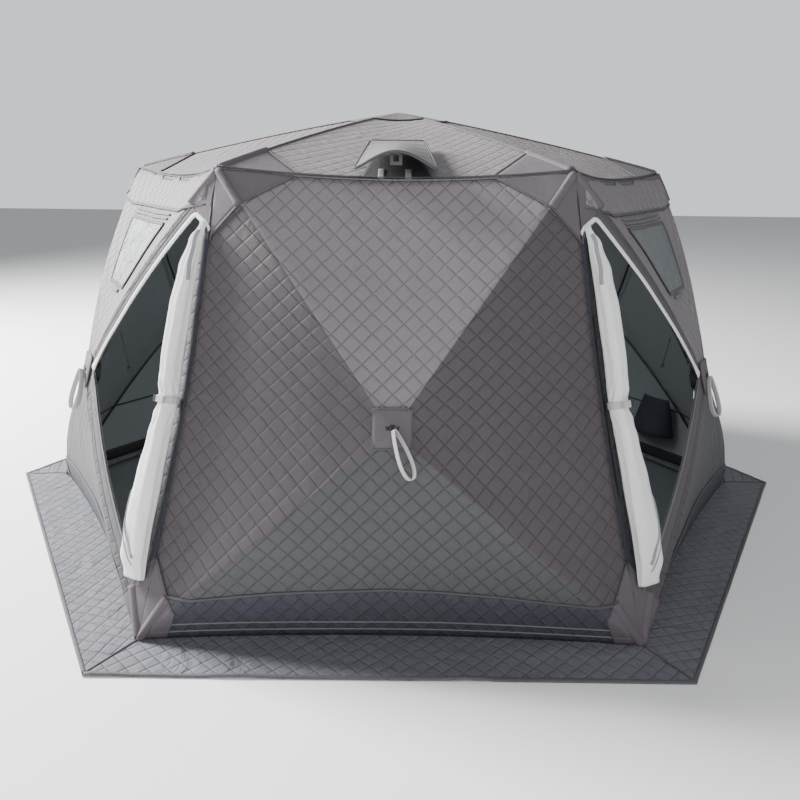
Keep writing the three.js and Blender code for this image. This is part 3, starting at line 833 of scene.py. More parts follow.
@dataclass(frozen=True)
class DoorForm:
    """The door opening in the triangle at the wall's right-hand edge."""

    form: WallForm
    corner_strip: float = 0.045
    upper_strip: float = 0.060
    lower_strip: float = 0.080
    edge: int = 1

    @property
    def line(self) -> Vector:
        """The corner seam, from the ground to the eave."""
        return self.form.corner(2) - self.form.corner(1)

    @property
    def low(self) -> float:
        """Length of seam that the lower strip takes."""
        return self.lower_strip / math.sin(self.line.angle(self.form.hub - self.form.corner(1)))

    @property
    def high(self) -> float:
        """Length of seam that the upper strip takes."""
        return self.upper_strip / math.sin((-self.line).angle(self.form.hub - self.form.corner(2)))

    @property
    def start(self) -> float:
        """The share at which the opening begins."""
        reach = self.form.hub - self.form.corner(1)
        return self.corner_strip / (reach.length * math.sin(self.line.angle(reach)))

    @property
    def end(self) -> float:
        """The share at which the opening ends, near the hub."""
        return 1 - (self.low + self.high + 0.008) / self.line.length

    def strips(self, share: float) -> Point2:
        """Where the opening begins and ends across the triangle at one share."""
        chord = self.line.length * (1 - share)
        return self.low / chord, 1 - self.high / chord


@dataclass
class Bay:
    """One side of the shelter: its wall form and its place in the ring."""

    wall: str
    form: WallForm = field(default_factory=WallForm)

    def __post_init__(self) -> None:
        """Works out the bay's turn and builds the faces that trims are laid on."""
        self.index = WALLS.index(self.wall)
        self.mirrored = self.wall == "front_right"
        self.turn = Matrix.Rotation(self.index * math.pi / 3, 3, "Z")
        shell = self.grid(False)
        tree = BVHTree.FromPolygons([tuple(p) for p in shell.points], shell.faces)
        self.drape = Drape(tree, self.aim)

    @staticmethod
    def aim(x: float, z: float) -> tuple[Vector, Vector, Vector]:
        """The line that meets the wall at x and z, and a point near its edges there."""
        depth = -1.559 + 0.459 * max(0.0, z) / 1.63
        return Vector((x, -3.0, z)), Vector((0.0, 1.0, 0.0)), Vector((x, depth, z))

    def world(self, spot: Vector) -> Vector:
        """A point of the bay's own frame, in the shelter's frame."""
        return self.turn @ Vector((-spot.x if self.mirrored else spot.x, spot.y, spot.z))

    def grid(self, has_door: bool) -> Shell:
        """The outer face of the wall's cloth.

        Args:
            has_door: Whether the door is cut out.

        Returns:
            The cloth, with finish 0 at the top, lightened as painted light, and 1 at the sides and 2 below,
            darkened as painted shade.
        """
        form, door = self.form, DoorForm(self.form)
        shares = [i / form.levels for i in range(form.levels + 1)]
        if has_door:
            shares = sorted([s for s in shares if abs(s - door.start) > 0.008 and abs(s - door.end) > 0.008]
                            + [door.start, door.end])
        shell = Shell()
        for edge in range(4):
            bands = [(shares, lambda s: (0.0, 1.0))]
            if has_door and edge == door.edge:
                inside = [s for s in shares if door.start - 1e-9 <= s <= door.end + 1e-9]
                bands = [
                    ([s for s in shares if s <= door.start + 1e-9], lambda s: (0.0, 1.0)),
                    (inside, lambda s: (0.0, door.strips(s)[0])),
                    (inside, lambda s: (door.strips(s)[1], 1.0)),
                    ([s for s in shares if s >= door.end - 1e-9], lambda s: (0.0, 1.0)),
                ]
            for rows, limits in bands:
                narrow = limits(rows[0]) != (0.0, 1.0)
                count = 8 if narrow else form.columns
                points, places = [], []
                for share in rows:
                    low, high = limits(share)
                    line = []
                    for j in range(count + 1):
                        across = low + (high - low) * j / count
                        line.append(form.point(edge, min(share, 1.0), across, self.index))
                    points.append(line)
                    places.append([form.place(p) for p in line])
                shell.add_grid(points, places, (2, 1, 0, 1)[edge])
        return shell

    def finish(self, shell: Shell, name: str, *materials: bpy.types.Material) -> bpy.types.Object:
        """Makes a piece from a shell of the bay's own frame."""
        shell.points = [self.world(p) for p in shell.points]
        return shell.build(name, materials, flip=self.mirrored)

    def follow(self, piece: bpy.types.Object, depth: float = -TRIM_LIFT) -> bpy.types.Object:
        """Bakes a piece's placement into its mesh.

        Args:
            piece: The piece.
            depth: How far inside the cloth it lies.

        Returns:
            The same piece.
        """
        form = self.form
        rise = (form.hub - form.corner(0)).dot(form.pop)
        end = form.hub - form.pop * depth
        start = end - form.pop * rise
        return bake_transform(piece, "root", f"hub_{self.wall}", start=self.world(start), end=self.world(end))


@dataclass
class WallCloth:
    """The quilted wall itself, and the separate lining inside it."""

    bay: Bay
    finishes: Finishes

    def build(self) -> bpy.types.Object:
        """Builds the wall's cloth and its lining, and hides the frame's own wall."""
        bay = self.bay
        has_door = bay.wall in ("front_left", "front_right")
        # the top triangle's finish carries painted light, and the side and lower finishes carry painted shade
        names = ("wall_upper_cloth_painted_light", "wall_side_cloth_painted_shade", "wall_lower_cloth_painted_shade")
        piece = bay.finish(bay.grid(has_door), f"cloth_{bay.wall}", *(self.finishes[n] for n in names))
        thicken(piece, CLOTH_THICKNESS)
        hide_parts(f"wall_{bay.wall}")
        bay.follow(piece, 0.0)
        lining = bay.finish(bay.grid(has_door), f"lining_{bay.wall}", *[self.finishes["lining"]] * 3)
        line_cloth(lining)
        bay.follow(lining, LINING_DEPTH)
        return piece


@dataclass
class Rods:
    """The four arched rods of a wall, bent between their corners and the hub."""

    bay: Bay
    finishes: Finishes
    radius: float = 0.0055
    ferrule_radius: float = 0.0068
    ferrule: float = 0.07
    tip: float = 0.038
    start: float = 0.042

    def build(self) -> None:
        """Builds the rods."""
        form = self.bay.form
        centre = form.hub - form.pop * form.hub_depth
        for number, corner in enumerate(CORNERS):
            piece = arched_rod(
                f"arched_rod_{self.bay.wall}_{corner}", form.pivot(number), centre, form.pop * form.bow,
                (self.start, self.tip), (self.radius, self.ferrule_radius, self.ferrule), self.bay.world,
                (self.finishes["rod_fibre"], self.finishes["ferrule_steel"]),
            )
            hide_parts(f"rod_{self.bay.wall}_{corner}")
            self.bay.follow(piece, form.hub_depth)


def arched_rod(
    name: str,
    pivot: Vector,
    hub: Vector,
    bow: Vector,
    ends: Point2,
    sizes: tuple[float, float, float],
    world: Callable[[Vector], Vector],
    materials: Sequence[bpy.types.Material],
) -> bpy.types.Object:
    """A thin arched rod with a metal ferrule at its hub end.

    Args:
        name: The piece's name.
        pivot: Its corner.
        hub: The middle of its hub.
        bow: How far and which way it arches at its middle.
        ends: What is left free at its corner and its hub.
        sizes: Its radius, its ferrule's radius and the ferrule's length.
        world: Turns a point into the shelter's frame.
        materials: The rod's finish and the ferrule's.

    Returns:
        The rod.
    """
    length = (hub - pivot).length
    radius, cuff, cuff_length = sizes
    joint = length - ends[1] - cuff_length
    stations = [ends[0] + (joint - ends[0]) * i / 22 for i in range(23)]
    rings = [(ends[0], 0.0), *((d, radius) for d in stations), (joint, cuff * 0.94), (joint + 0.001, cuff)]
    rings += [(length - ends[1] - 0.002, cuff), (length - ends[1], cuff * 0.8), (length - ends[1], 0.0)]
    axis = (hub - pivot).normalized()
    side = axis.cross(bow).normalized()
    up = side.cross(axis)
    points, places = [], []
    for distance, size in rings:
        middle = pivot.lerp(hub, distance / length) + bow * arch(distance / length)
        ring = []
        for i in range(13):
            angle = -i * math.tau / 12
            ring.append(world(middle + (side * math.cos(angle) + up * math.sin(angle)) * size))
        points.append(ring)
        places.append([(distance, i * 0.003) for i in range(13)])
    shell = Shell()
    shell.add_grid(points[:25], places[:25])
    shell.add_grid(points[24:], places[24:], 1)
    made = shell.build(name, materials)
    activate(made)
    bpy.ops.object.mode_set(mode="EDIT")
    bpy.ops.mesh.select_all(action="SELECT")
    bpy.ops.mesh.normals_make_consistent(inside=False)
    bpy.ops.object.mode_set(mode="OBJECT")
    return made


# ---- trims of the walls ----


@dataclass
class FrontTrim:
    """Gussets, kick strip, welts and hub patch of a plain wall."""

    bay: Bay
    finishes: Finishes
    upper_gusset: tuple[Point2, Point2, Point2] = ((0.365, 1.598), (0.548, 1.505), (0.668, 1.385))
    lower_gusset: tuple[Point2, Point2, Point2] = ((0.76, 0.115), (0.79, 0.165), (0.848, 0.29))
    top_corner: Point2 = (0.634, 1.619)
    low_corner: Point2 = (0.897, 0.009)
    kick_top: tuple[Point2, ...] = (
        (-0.87, 0.135), (-0.79, 0.168), (-0.4, 0.196), (0.0, 0.21), (0.4, 0.19), (0.79, 0.16), (0.87, 0.13)
    )
    kick_hem: tuple[Point2, ...] = ((-0.893, 0.011), (0.0, 0.011), (0.893, 0.011))
    welts: tuple[float, ...] = (0.072, 0.04)
    patch_half: float = 0.064

    def add(self, shell: Shell, name: str, finish: str, slot: str = "quilted_skin") -> bpy.types.Object:
        """Makes one trim."""
        piece = self.bay.finish(shell, f"{name}_{self.bay.wall}", self.finishes[finish])
        return self.bay.follow(piece)

    def build(self) -> None:
        """Builds every trim of the wall."""
        drape = self.bay.drape
        kick = drape.strip(self.kick_hem, self.kick_top, 64, 8, 0.001, 0.003)
        self.add(kick, "kick_strip", "kick_cloth")
        seam = drape.ribbon(self.kick_top, 0.010, 72, lift=0.003, thickness=0.002, crown=0.002)
        self.add(seam, "kick_seam", "piping")
        for number, height in enumerate(self.welts):
            half = 0.885 - height * 0.165
            path = ((-half, height), (0.0, height), (half, height))
            welt = drape.ribbon(path, 0.006, 64, lift=0.004, thickness=0.0015, crown=0.002)
            self.add(welt, f"welt_{number + 1}", "light_piping")
        for side, label in ((-1.0, "left"), (1.0, "right")):
            self.gussets(side, label)
        self.hub_patch()

    def gussets(self, side: float, label: str) -> None:
        """Builds the reinforcements at the upper and lower corner of one side."""
        drape = self.bay.drape
        for level, gusset, corner in (
            ("upper", self.upper_gusset, self.top_corner),
            ("lower", self.lower_gusset, self.low_corner),
        ):
            points = [(side * x, z) for x, z in gusset]
            tip = (side * corner[0], corner[1])
            edge = (points[0], points[1], points[2])
            rim = (tip, tip) if level == "upper" else ((side * 0.80, 0.011), tip, (side * 0.893, 0.1))
            patch = drape.strip(edge, rim, 24, 10, 0.003, 0.0025, 0.002)
            self.add(patch, f"gusset_{level}_{label}", "gusset_cloth")
            hem = drape.ribbon(edge, 0.007, 24, lift=0.005, thickness=0.001, crown=0.0015)
            self.add(hem, f"gusset_hem_{level}_{label}", "facing_cloth")
            sleeve_end = points[1]
            sleeve = drape.ribbon(
                (tip, sleeve_end), 0.030, 14, lift=0.004, thickness=0.002, crown=0.010, across=8
            )
            self.add(sleeve, f"rod_sleeve_{level}_{label}", "gusset_cloth")

    def hub_patch(self) -> None:
        """Builds the stitched patch round the hub, and the dark collar in its middle."""
        drape = self.bay.drape
        h, z = self.patch_half, self.bay.form.hub_height + 0.008
        patch = drape.strip(((-h, z + h), (h, z + h)), ((-h, z - h), (h, z - h)), 14, 14, 0.004, 0.002, 0.004)
        self.add(patch, "hub_patch", "gusset_cloth")
        for number, path in enumerate((
            ((-h, z + h), (h, z + h)), ((h, z + h), (h, z - h)),
            ((h, z - h), (-h, z - h)), ((-h, z - h), (-h, z + h)),
        )):
            hem = drape.ribbon(path, 0.006, 14, lift=0.006, thickness=0.001, crown=0.0015)
            self.add(hem, f"hub_patch_hem_{number + 1}", "facing_cloth")
        collar_paths = (((-0.020, z + 0.012), (0.020, z + 0.012)), ((-0.020, z - 0.004), (0.020, z - 0.004)))
        collar = drape.strip(*collar_paths, 10, 6, 0.0085, 0.003, 0.002)
        self.add(collar, "hub_collar", "black_webbing")


@dataclass
class PullLoop:
    """The webbing loop that pulls a hub out."""

    bay: Bay
    finishes: Finishes
    length: float = 0.174
    width: float = 0.024
    opening: float = 0.060
    thickness: float = 0.0018
    lean: float = -0.36
    tilt: float = -0.36
    turn: float = 0.5

    def build(self) -> bpy.types.Object:
        """Builds a band that hangs from the patch, open in its middle."""
        top = self.bay.form.hub + Vector((0.0, -0.0102, 0.007))
        count = 44
        outer, inner, places = [], [], []
        for i in range(count + 1):
            angle = math.tau * i / count
            reach = (1 - math.cos(angle)) / 2
            wide = self.opening / 2 * math.sin(angle) * (0.35 + 0.65 * reach)
            tangent_x = self.opening / 2 * math.cos(angle) * (0.35 + 0.65 * reach)
            tangent_z = -self.length * math.sin(angle) / 2
            size = math.hypot(tangent_x, tangent_z) or 1.0
            normal = Vector((-tangent_z / size, 0.0, tangent_x / size))
            spot = Vector((wide, 0.0, -self.length * reach))
            edges, faces = [], []
            for j in range(5):
                depth = -self.width * j / 4 - 0.001
                edges.append(spot + Vector((0.0, depth, 0.0)) + normal * self.thickness)
                faces.append(spot + Vector((0.0, depth, 0.0)))
            outer.append([self.hang(p, top) for p in edges])
            inner.append([self.hang(p, top) for p in faces])
            places.append([(i * self.length * 2 / count, j * self.width / 4) for j in range(5)])
        shell = closed_slab(outer, inner, places)
        piece = self.bay.finish(shell, f"webbing_loop_{self.bay.wall}", self.finishes["webbing"])
        if self.bay.wall == "front":
            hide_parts("pull_loop_front")
            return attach(piece, "pull_loop_front")
        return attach(piece, f"hub_{self.bay.wall}")

    def hang(self, spot: Vector, top: Vector) -> Vector:
        """Turns and leans a point of the upright loop, and hangs it from the patch."""
        turned = Matrix.Rotation(self.tilt, 3, "Y") @ (Matrix.Rotation(self.turn, 3, "Z") @ spot)
        return Matrix.Rotation(self.lean, 3, "X") @ turned + top


@dataclass
class SideTrim:
    """Facings, zips, window and panels of a wall with a door."""

    bay: Bay
    finishes: Finishes
    tape: float = 0.016
    tape_end: float = 0.034

    def add(self, shell: Shell, name: str, finish: str, slot: str = "quilted_skin") -> bpy.types.Object:
        """Makes one trim."""
        piece = self.bay.finish(shell, f"{name}_{self.bay.wall}", self.finishes[finish])
        return self.bay.follow(piece)

    def door_side(self, share: float, upper: bool, margin: float = 0.0) -> Point2:
        """A point beside the opening, margin metres into the cloth from its edge."""
        form, door = self.bay.form, DoorForm(self.bay.form)
        low, high = door.strips(share)
        chord = door.line.length * (1 - share)
        across = high + margin / chord if upper else low - margin / chord
        spot = form.point(door.edge, share, min(max(across, 0.0), 1.0), self.bay.index)
        return spot.x, spot.z

    def build(self) -> None:
        """Builds every trim of the wall."""
        drape = self.bay.drape
        door = DoorForm(self.bay.form)
        shares = [door.start + (door.end - door.start) * i / 20 for i in range(21)]
        upper = [(0.668, 1.418), *(self.door_side(s, True, 0.004) for s in shares[1:])]
        lower = [(0.885, 0.128), *(self.door_side(s, False, 0.004) for s in shares)]
        widen = lambda t: self.tape + (self.tape_end - self.tape) * max(0.0, (t - 0.93) / 0.07)
        tape = drape.ribbon(upper, widen, 60, lift=0.004, thickness=0.003, crown=0.002)
        self.add(tape, "door_tape", "white_tape")
        zip_line = drape.ribbon(lower, 0.007, 60, lift=0.003, thickness=0.002, crown=0.001)
        self.add(zip_line, "door_zip", "light_piping")
        backs = [self.door_side(s, True, 0.052) for s in shares]
        facing = drape.strip(
            [self.door_side(s, True, 0.012) for s in shares], backs, 48, 4, 0.002, 0.002, 0.002
        )
        self.add(facing, "upper_facing", "facing_cloth")
        low_backs = [self.door_side(s, False, 0.072) for s in shares]
        low_facing = drape.strip(
            [self.door_side(s, False, 0.010) for s in shares], low_backs, 48, 4, 0.002, 0.002, 0.002
        )
        self.add(low_facing, "lower_facing", "facing_cloth")
        for number, path in enumerate((backs, low_backs)):
            hem = drape.ribbon(path, 0.007, 48, lift=0.004, thickness=0.001, crown=0.002)
            self.add(hem, f"facing_hem_{number + 1}", "piping")
        # a dark navy strip along the corner seam beside the doorway: painted shade, where the cloth by the
        # seam lies in shade
        seam = [(0.884, 0.1), (0.763, 0.83), (0.668, 1.42)]
        seam_shade_strip = drape.strip(seam, [(x - 0.036, z) for x, z in seam], 40, 3, 0.002, 0.0025, 0.001)
        self.add(seam_shade_strip, "painted_seam_shade", "navy_cloth")
        self.window()
        self.plain_trims()

    def plain_trims(self) -> None:
        """Builds the low seam, the hub patch and the gussets that every wall has."""
        base = FrontTrim(self.bay, self.finishes)
        for side, label in ((-1.0, "left"), (1.0, "right")):
            base.gussets(side, label)
        base.hub_patch()
        kick_top = ((-0.87, 0.135), (-0.79, 0.168), (-0.4, 0.19), (0.0, 0.2), (0.4, 0.165), (0.84, 0.085))
        kick = self.bay.drape.strip(
            ((-0.893, 0.011), (0.0, 0.011), (0.893, 0.011)), kick_top, 64, 8, 0.001, 0.003
        )
        self.add(kick, "kick_strip", "kick_cloth")
        seam = self.bay.drape.ribbon(kick_top, 0.010, 72, lift=0.003, thickness=0.002, crown=0.002)
        self.add(seam, "kick_seam", "piping")

    def window(self) -> None:
        """Builds the blind of the window, its piping, the panel above it and the tab below."""
        drape = self.bay.drape
        top, bottom = ((-0.29, 1.412), (0.0, 1.405), (0.29, 1.412)), (
            (-0.135, 1.152), (0.0, 1.148), (0.135, 1.152)
        )
        blind = drape.strip(bottom, top, 40, 24, 0.003, 0.002)
        side = "left" if self.bay.wall == "front_left" else "right"
        piece = self.add(blind, "window_blind", "window_blind", "window_panel")
        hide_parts(f"window_{side}")
        outline = (top, (top[-1], bottom[-1]), bottom, (bottom[0], top[0]))
        for number, path in enumerate(outline):
            edge = drape.ribbon(path, 0.012, 30, lift=0.005, thickness=0.001, crown=0.003)
            self.add(edge, f"window_piping_{number + 1}", "facing_cloth")
        for number, rise in enumerate((0.020, 0.036)):
            path = [(x * (1.0 + rise), z + rise) for x, z in top]
            edge = drape.ribbon(path, 0.008, 30, lift=0.003, thickness=0.001, crown=0.004)
            self.add(edge, f"window_rail_{number + 1}", "light_piping")
        tab = drape.ribbon(
            ((-0.06, 1.128), (0.06, 1.128)), 0.014, 12, lift=0.003, thickness=0.002, crown=0.004
        )
        self.add(tab, "window_tab", "light_piping")
        hem_line = ((-0.62, 1.50), (-0.42, 1.468), (0.0, 1.462), (0.42, 1.468), (0.62, 1.50))
        eave_line = ((-0.60, 1.612), (-0.3, 1.595), (0.0, 1.588), (0.3, 1.595), (0.60, 1.612))
        panel = drape.strip(hem_line, eave_line, 60, 10, 0.003, 0.002, 0.006)
        # the panel takes the top triangle's finish, with its painted light
        self.add(panel, "upper_panel", "wall_upper_cloth_painted_light")
        hem = drape.ribbon(hem_line, 0.009, 60, lift=0.005, thickness=0.001, crown=0.003)
        self.add(hem, "upper_panel_hem", "piping")


@dataclass
class RolledDoor:
    """The door rolled up along its seam, held by a strap and buckle."""

    bay: Bay
    finishes: Finishes
    side: str
    from_share: float = 0.12
    to_share: float = 0.885
    clear: float = 0.007
    stations: tuple[tuple[float, float, float], ...] = (
        (0.12, 0.022, 0.052), (0.17, 0.036, 0.062), (0.24, 0.040, 0.062),
        (0.34, 0.043, 0.052), (0.42, 0.042, 0.043),
        (0.47, 0.040, 0.036), (0.488, 0.036, 0.033), (0.512, 0.036, 0.033),
        (0.53, 0.041, 0.036), (0.6, 0.042, 0.039),
        (0.7, 0.040, 0.040), (0.78, 0.033, 0.034), (0.84, 0.024, 0.024), (0.885, 0.011, 0.012),
    )

    def __post_init__(self) -> None:
        """Works out the directions square to the cloth that borders the seam."""
        form = self.bay.form
        self.seam = (form.corner(2) - form.corner(1)).normalized()
        plain = WallForm(levels=1, columns=1)
        start = plain.rod_point(1, 0.0).lerp(plain.rod_point(2, 0.0), 0.5) + plain.sag(1)
        inner = plain.rod_point(1, 0.14).lerp(plain.rod_point(2, 0.14), 0.5) + plain.sag(1) * 0.86**2
        self.outwards = (start - inner).cross(self.seam).normalized()
        self.sideways = self.seam.cross(self.outwards).normalized()

    def sizes(self, t: float) -> Point2:
        """The half depth and half width of the roll at a share of the seam."""
        for (t0, o0, a0), (t1, o1, a1) in zip(self.stations, self.stations[1:]):
            if t <= t1 + 1e-9:
                s = min(max((t - t0) / (t1 - t0), 0.0), 1.0)
                s = s * s * (3 - 2 * s)
                return o0 + (o1 - o0) * s, a0 + (a1 - a0) * s
        return self.stations[-1][1:]

    def centre(self, t: float) -> Vector:
        """The middle of the roll."""
        form = self.bay.form
        out, wide = self.sizes(t)
        spot = form.corner(1).lerp(form.corner(2), t) + form.sag(1) * arch(t)
        return spot + self.outwards * (out + self.clear) - self.sideways * (wide + 0.012)

    def skin(self, t: float, angle: float, lift: float = 0.0) -> Vector:
        """A point of the roll's face.

        Args:
            t: The share of the seam.
            angle: Round the roll, from the side at the seam.
            lift: How far off the face.

        Returns:
            The point, with the cloth's folds.
        """
        out, wide = self.sizes(t)
        near_strap = math.exp(-(((t - 0.5) / 0.06) ** 2))
        at_strap = math.exp(-(((t - 0.5) / 0.014) ** 4))
        fold = 0.0035 * noise.noise(Vector((math.cos(angle) * 1.2, math.sin(angle) * 1.2, t * 9.0)))
        pucker = 0.0022 * near_strap * math.sin(9 * angle + 5 * math.sin(t * 40))
        seamline = -0.005 * math.exp(-((math.remainder(angle - 4.3 - 1.1 * (t - 0.5), math.tau) / 0.14) ** 2))
        size = (fold - 0.0015 + pucker + seamline) * (1 - at_strap) + lift
        square = 1.0 - 0.10 * math.cos(4 * angle) * (1 - at_strap)
        x = math.cos(angle) * (wide * min(square, 1.0) + size)
        y = math.sin(angle) * (out * min(square, 1.0) + size)
        return self.centre(t) + self.sideways * x + self.outwards * y

    def build(self) -> None:
        """Builds the roll, with closed ends, and its zip tapes."""
        count, around = 96, 48
        points, places = [], []
        ends = [self.from_share, self.to_share]
        for i in range(count + 1):
            t = ends[0] + (ends[1] - ends[0]) * i / count
            ring = [self.skin(t, -math.tau * j / around) for j in range(around + 1)]
            points.append(ring)
            places.append([(j * 0.007, t * 1.7) for j in range(around + 1)])
        for row in (0, -1):
            hub = self.centre(ends[row])
            middle = [hub + (p - hub) * 0.5 + self.seam * (0.004 if row else -0.004) for p in points[row]]
            tip = [hub + self.seam * (0.005 if row else -0.005)] * (around + 1)
            if row == 0:
                points[0:0] = [tip, middle]
                places[0:0] = [places[0], places[0]]
            else:
                points += [middle, tip]
                places += [places[-1], places[-1]]
        shell = Shell()
        shell.add_grid(points, places)
        roll = self.bay.finish(shell, f"rolled_door_{self.side}", self.finishes["door_lining"])
        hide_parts(f"door_roll_{self.side}")
        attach(roll, f"door_{self.side}")
        self.tapes()

    def band(self, name: str, path: Sequence[Point2], width: float, finish: str, lift: float = 0.001) -> None:
        """Lays a tape on the roll along a path of seam share and angle."""
        fine = smoothed(path, 40)
        top, under, places = [], [], []
        for i, (t, angle) in enumerate(fine):
            after, before = fine[min(i + 1, 40)], fine[max(i - 1, 0)]
            run = (self.skin(*after, 0.0) - self.skin(*before, 0.0)).normalized()
            spot = self.skin(t, angle, lift)
            normal = (spot - self.centre(t)).normalized()
            across = run.cross(normal).normalized()
            upper, lower, spots = [], [], []
            for j in range(4):
                shift = across * (width * (j / 3 - 0.5))
                lower.append(spot + shift - normal * 0.001)
                upper.append(spot + shift + normal * 0.0012)
                spots.append((i * 0.01, j * width / 3))
            top.append(upper)
            under.append(lower)
            places.append(spots)
        piece = self.bay.finish(closed_slab(top, under, places), f"{name}_{self.side}", self.finishes[finish])
        self.solid(piece)
        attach(piece, f"door_{self.side}")

    @staticmethod
    def solid(piece: bpy.types.Object) -> None:
        """Turns a closed piece's faces outwards."""
        activate(piece)
        bpy.ops.object.mode_set(mode="EDIT")
        bpy.ops.mesh.select_all(action="SELECT")
        bpy.ops.mesh.normals_make_consistent(inside=False)
        bpy.ops.object.mode_set(mode="OBJECT")

    def tapes(self) -> None:
        """Builds the zip tapes that show on the roll."""
        front = math.pi / 2
        self.band(
            "zip_tape_top",
            ((0.865, front - 0.5), (0.83, front - 0.62), (0.79, front - 0.8), (0.755, front - 0.95)), 0.014,
            "zip_tape"
        )
        self.band(
            "zip_tape_low",
            ((0.30, front + 1.2), (0.245, front + 0.75), (0.20, front + 0.2), (0.165, front - 0.5)), 0.013,
            "zip_tape"
        )
        self.band(
            "zip_tape_hem",
            ((0.275, front + 1.25), (0.222, front + 0.8), (0.18, front + 0.25), (0.15, front - 0.4)), 0.005,
            "zip_tape"
        )
        self.band(
            "roll_edge", ((0.86, front + 0.9), (0.7, front + 0.95), (0.6, front + 1.0), (0.53, front + 1.0)),
            0.004, "white_tape"
        )


# ---- roof ----


@dataclass(frozen=True)
class RoofForm:
    """The shallow six-sided roof."""

    radius: float = 1.27
    eave: float = 1.63
    apex: float = 1.895
    bow: float = 0.015
    eave_in: float = 0.028
    eave_down: float = 0.035
    levels: int = 30
    columns: int = 28
    still_share: float = 0.37
    hub_depth: float = 0.046

    def point(self, side: int, share: float, across: float) -> Vector:
        """A point of one side of the roof, share running from the eave to the middle."""
        start = Vector(
            (-self.radius * 0.5, -self.radius * COS30, self.eave)
        ).lerp(Vector((0, 0, self.apex)), share)
        end = Vector(
            (self.radius * 0.5, -self.radius * COS30, self.eave)
        ).lerp(Vector((0, 0, self.apex)), share)
        spot = start.lerp(end, across) + Vector((0, 0, self.bow * arch(share)))
        spot += Vector((0.0, self.eave_in, -self.eave_down)) * arch(across) * (1 - share) ** 2
        calm = arch(across) * min(1.0, arch(share) * 2)
        spot.z -= 0.012 * math.sin(math.pi * across) * math.sin(math.pi * share)
        spot.z += noise.noise(Vector((spot.x * 3, spot.y * 3, side * 5.0))) * 0.006 * calm
        return Matrix.Rotation(side * math.pi / 3, 3, "Z") @ spot

    def height(self, share: float) -> float:
        """The height of the middle of a side at a share."""
        return self.eave + (self.apex - self.eave) * share + self.bow * arch(share)


